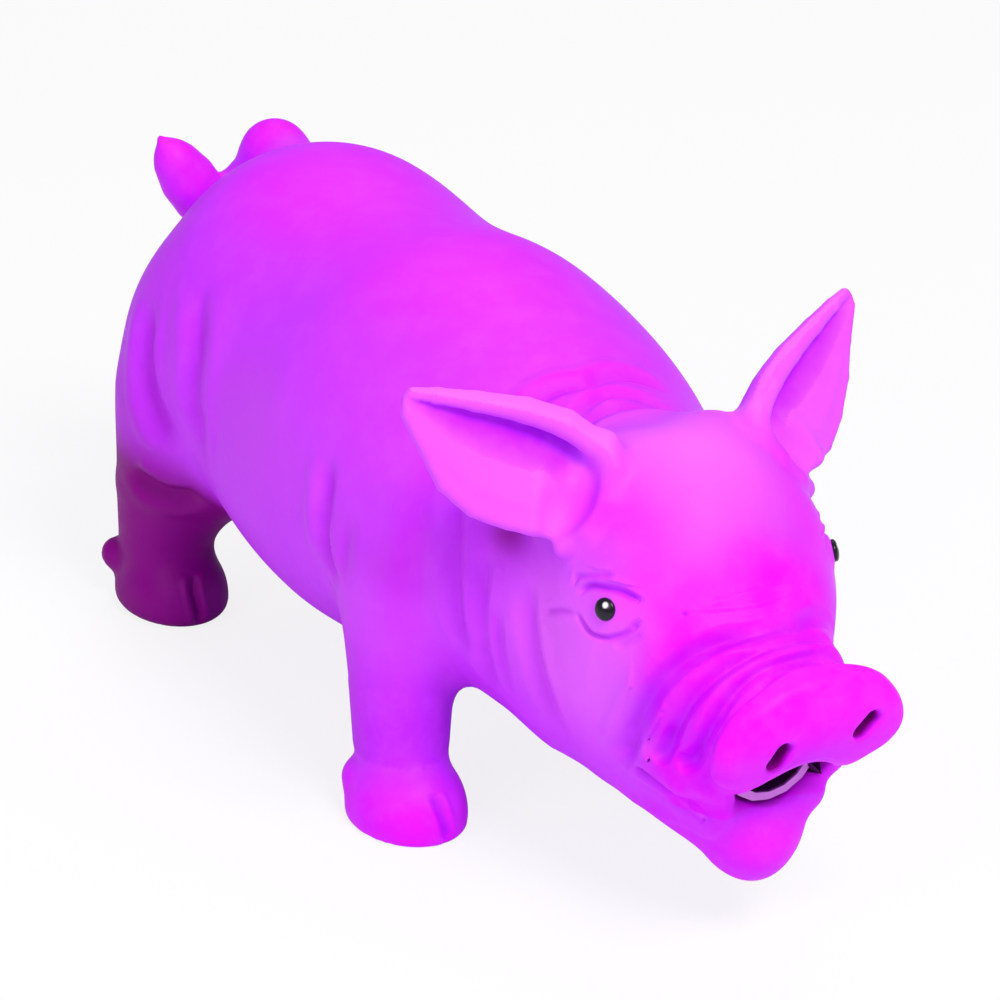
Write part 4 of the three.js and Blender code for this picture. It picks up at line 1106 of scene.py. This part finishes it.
fibre = bpy.data.materials.new("bonded_fibre")
fibre.use_nodes = True
tree = fibre.node_tree
wool = tree.nodes["Principled BSDF"]
place = tree.nodes.new("ShaderNodeTexCoord").outputs["Object"]
tuft = noise(tree, place, 90, 5, 0.7)
strand = node(tree, "ShaderNodeTexWave", Scale=180, Distortion=14, Detail=3)
tree.links.new(place, strand.inputs["Vector"])
tree.links.new(mixed(tree, tuft, (0.62, 0.6, 0.62, 1), (0.86, 0.85, 0.85, 1)), wool.inputs["Base Color"])
ruffle = node(tree, "ShaderNodeBump", Strength=0.6, Distance=0.0008)
tree.links.new(strand.outputs["Fac"], ruffle.inputs["Height"])
tree.links.new(ruffle.outputs["Normal"], wool.inputs["Normal"])
tree.links.new(scaled(tree, tuft, 0.2, 0.78), wool.inputs["Roughness"])


def pocket(points):
    level = tube_mouth[2] + tube_climb * (points[..., 1] - tube_mouth[1])
    around = np.hypot(points[..., 0], points[..., 2] - level) - pocket_radius
    return np.maximum(around, points[..., 1] + 60)


def wad_form(points):
    return -blended(-(skin_form(points) + skin_thickness), pocket(points), 2)


wad_low, wad_high = grid_low + 3, grid_high - 3
for name, side in (("filling_body", 1), ("filling_head", -1)):
    def half_form(points, side=side):
        lean = math.radians(22)
        to_head = -(points[..., 1] + 40) * math.cos(lean) + (points[..., 2] - 56) * math.sin(lean)
        return -blended(-wad_form(points), -(side * to_head + 0.5), 1.5)

    corners, faces = grid_surface(grid_form(half_form, wad_low, wad_high, wad_step), wad_low, wad_step)
    corners = drawn_to(half_form, relaxed(corners, faces))
    mesh = bpy.data.meshes.new(name)
    mesh.from_pydata(shifted(corners).tolist(), [], faces.tolist())
    mesh.update()
    mesh.polygons.foreach_set("use_smooth", [True] * len(mesh.polygons))
    mesh.materials.append(fibre)
    piece = bpy.data.objects.new("wad_" + name, mesh)
    bpy.context.collection.objects.link(piece)
    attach(piece, "pig")
    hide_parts(name)

# The voice: a moulded tube, seat, clamp, reed and screen, all of plastic, that grunt when air passes.
# Their shapes are right as they come, so they only get their materials here, the tube's with painted shade and a
# painted highlight.


def moulded(name, colour, second, roughness, grain):
    material = bpy.data.materials.new(name)
    material.use_nodes = True
    tree = material.node_tree
    plastic = tree.nodes["Principled BSDF"]
    place = tree.nodes.new("ShaderNodeTexCoord").outputs["Object"]
    flow = noise(tree, place, 60, 3, 0.5)
    fine = noise(tree, place, grain, 4, 0.6)
    tree.links.new(mixed(tree, flow, colour, second), plastic.inputs["Base Color"])
    tree.links.new(scaled(tree, fine, 0.2, roughness), plastic.inputs["Roughness"])
    bump = node(tree, "ShaderNodeBump", Strength=0.15, Distance=0.0002)
    tree.links.new(fine, bump.inputs["Height"])
    tree.links.new(bump.outputs["Normal"], plastic.inputs["Normal"])
    return material


# The tube's dark plum is painted shade, for the dark inside the mouth where it sits.
tube_shade_paint = moulded("tube_plastic_painted_shade", (0.035, 0.004, 0.045, 1), (0.06, 0.008, 0.075, 1), 0.45, 1500)
tree = tube_shade_paint.node_tree
place = tree.nodes.new("ShaderNodeTexCoord").outputs["Object"]
bore = np.array((0, math.cos(tube_rise), math.sin(tube_rise)))
tube_points = np.array([corner.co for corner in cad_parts["grunter_tube"].data.vertices])
along_bore = node(tree, "ShaderNodeVectorMath", {"operation": "DOT_PRODUCT"})
along_bore.inputs[1].default_value = tuple(bore)
tree.links.new(place, along_bore.inputs[0])
# A pale painted highlight runs round the front rim of the tube.
rim_highlight_depth = 0.0007
rim_highlight_start = float((tube_points @ bore).min()) + rim_highlight_depth
rim = scaled(tree, along_bore.outputs["Value"], -1 / rim_highlight_depth, rim_highlight_start / rim_highlight_depth)
plastic = tree.nodes["Principled BSDF"]
painted_shade_plum = plastic.inputs["Base Color"].links[0].from_socket
tree.links.new(mixed(tree, rim, painted_shade_plum, (0.7, 0.2, 0.8, 1)), plastic.inputs["Base Color"])

finishes = {
    "grunter_tube": tube_shade_paint,
    "reed_seat": moulded("seat_plastic", (0.75, 0.75, 0.72, 1), (0.82, 0.82, 0.8, 1), 0.35, 1500),
    "reed_clamp": moulded("clamp_plastic", (0.7, 0.7, 0.7, 1), (0.78, 0.78, 0.78, 1), 0.4, 1500),
    "reed": moulded("reed_film", (0.55, 0.6, 0.62, 1), (0.65, 0.7, 0.72, 1), 0.2, 2500),
    "rear_screen": moulded("screen_plastic", (0.72, 0.72, 0.7, 1), (0.8, 0.8, 0.78, 1), 0.4, 1500),
}
for name, material in finishes.items():
    for at in range(len(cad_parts[name].material_slots)):
        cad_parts[name].material_slots[at].material = material
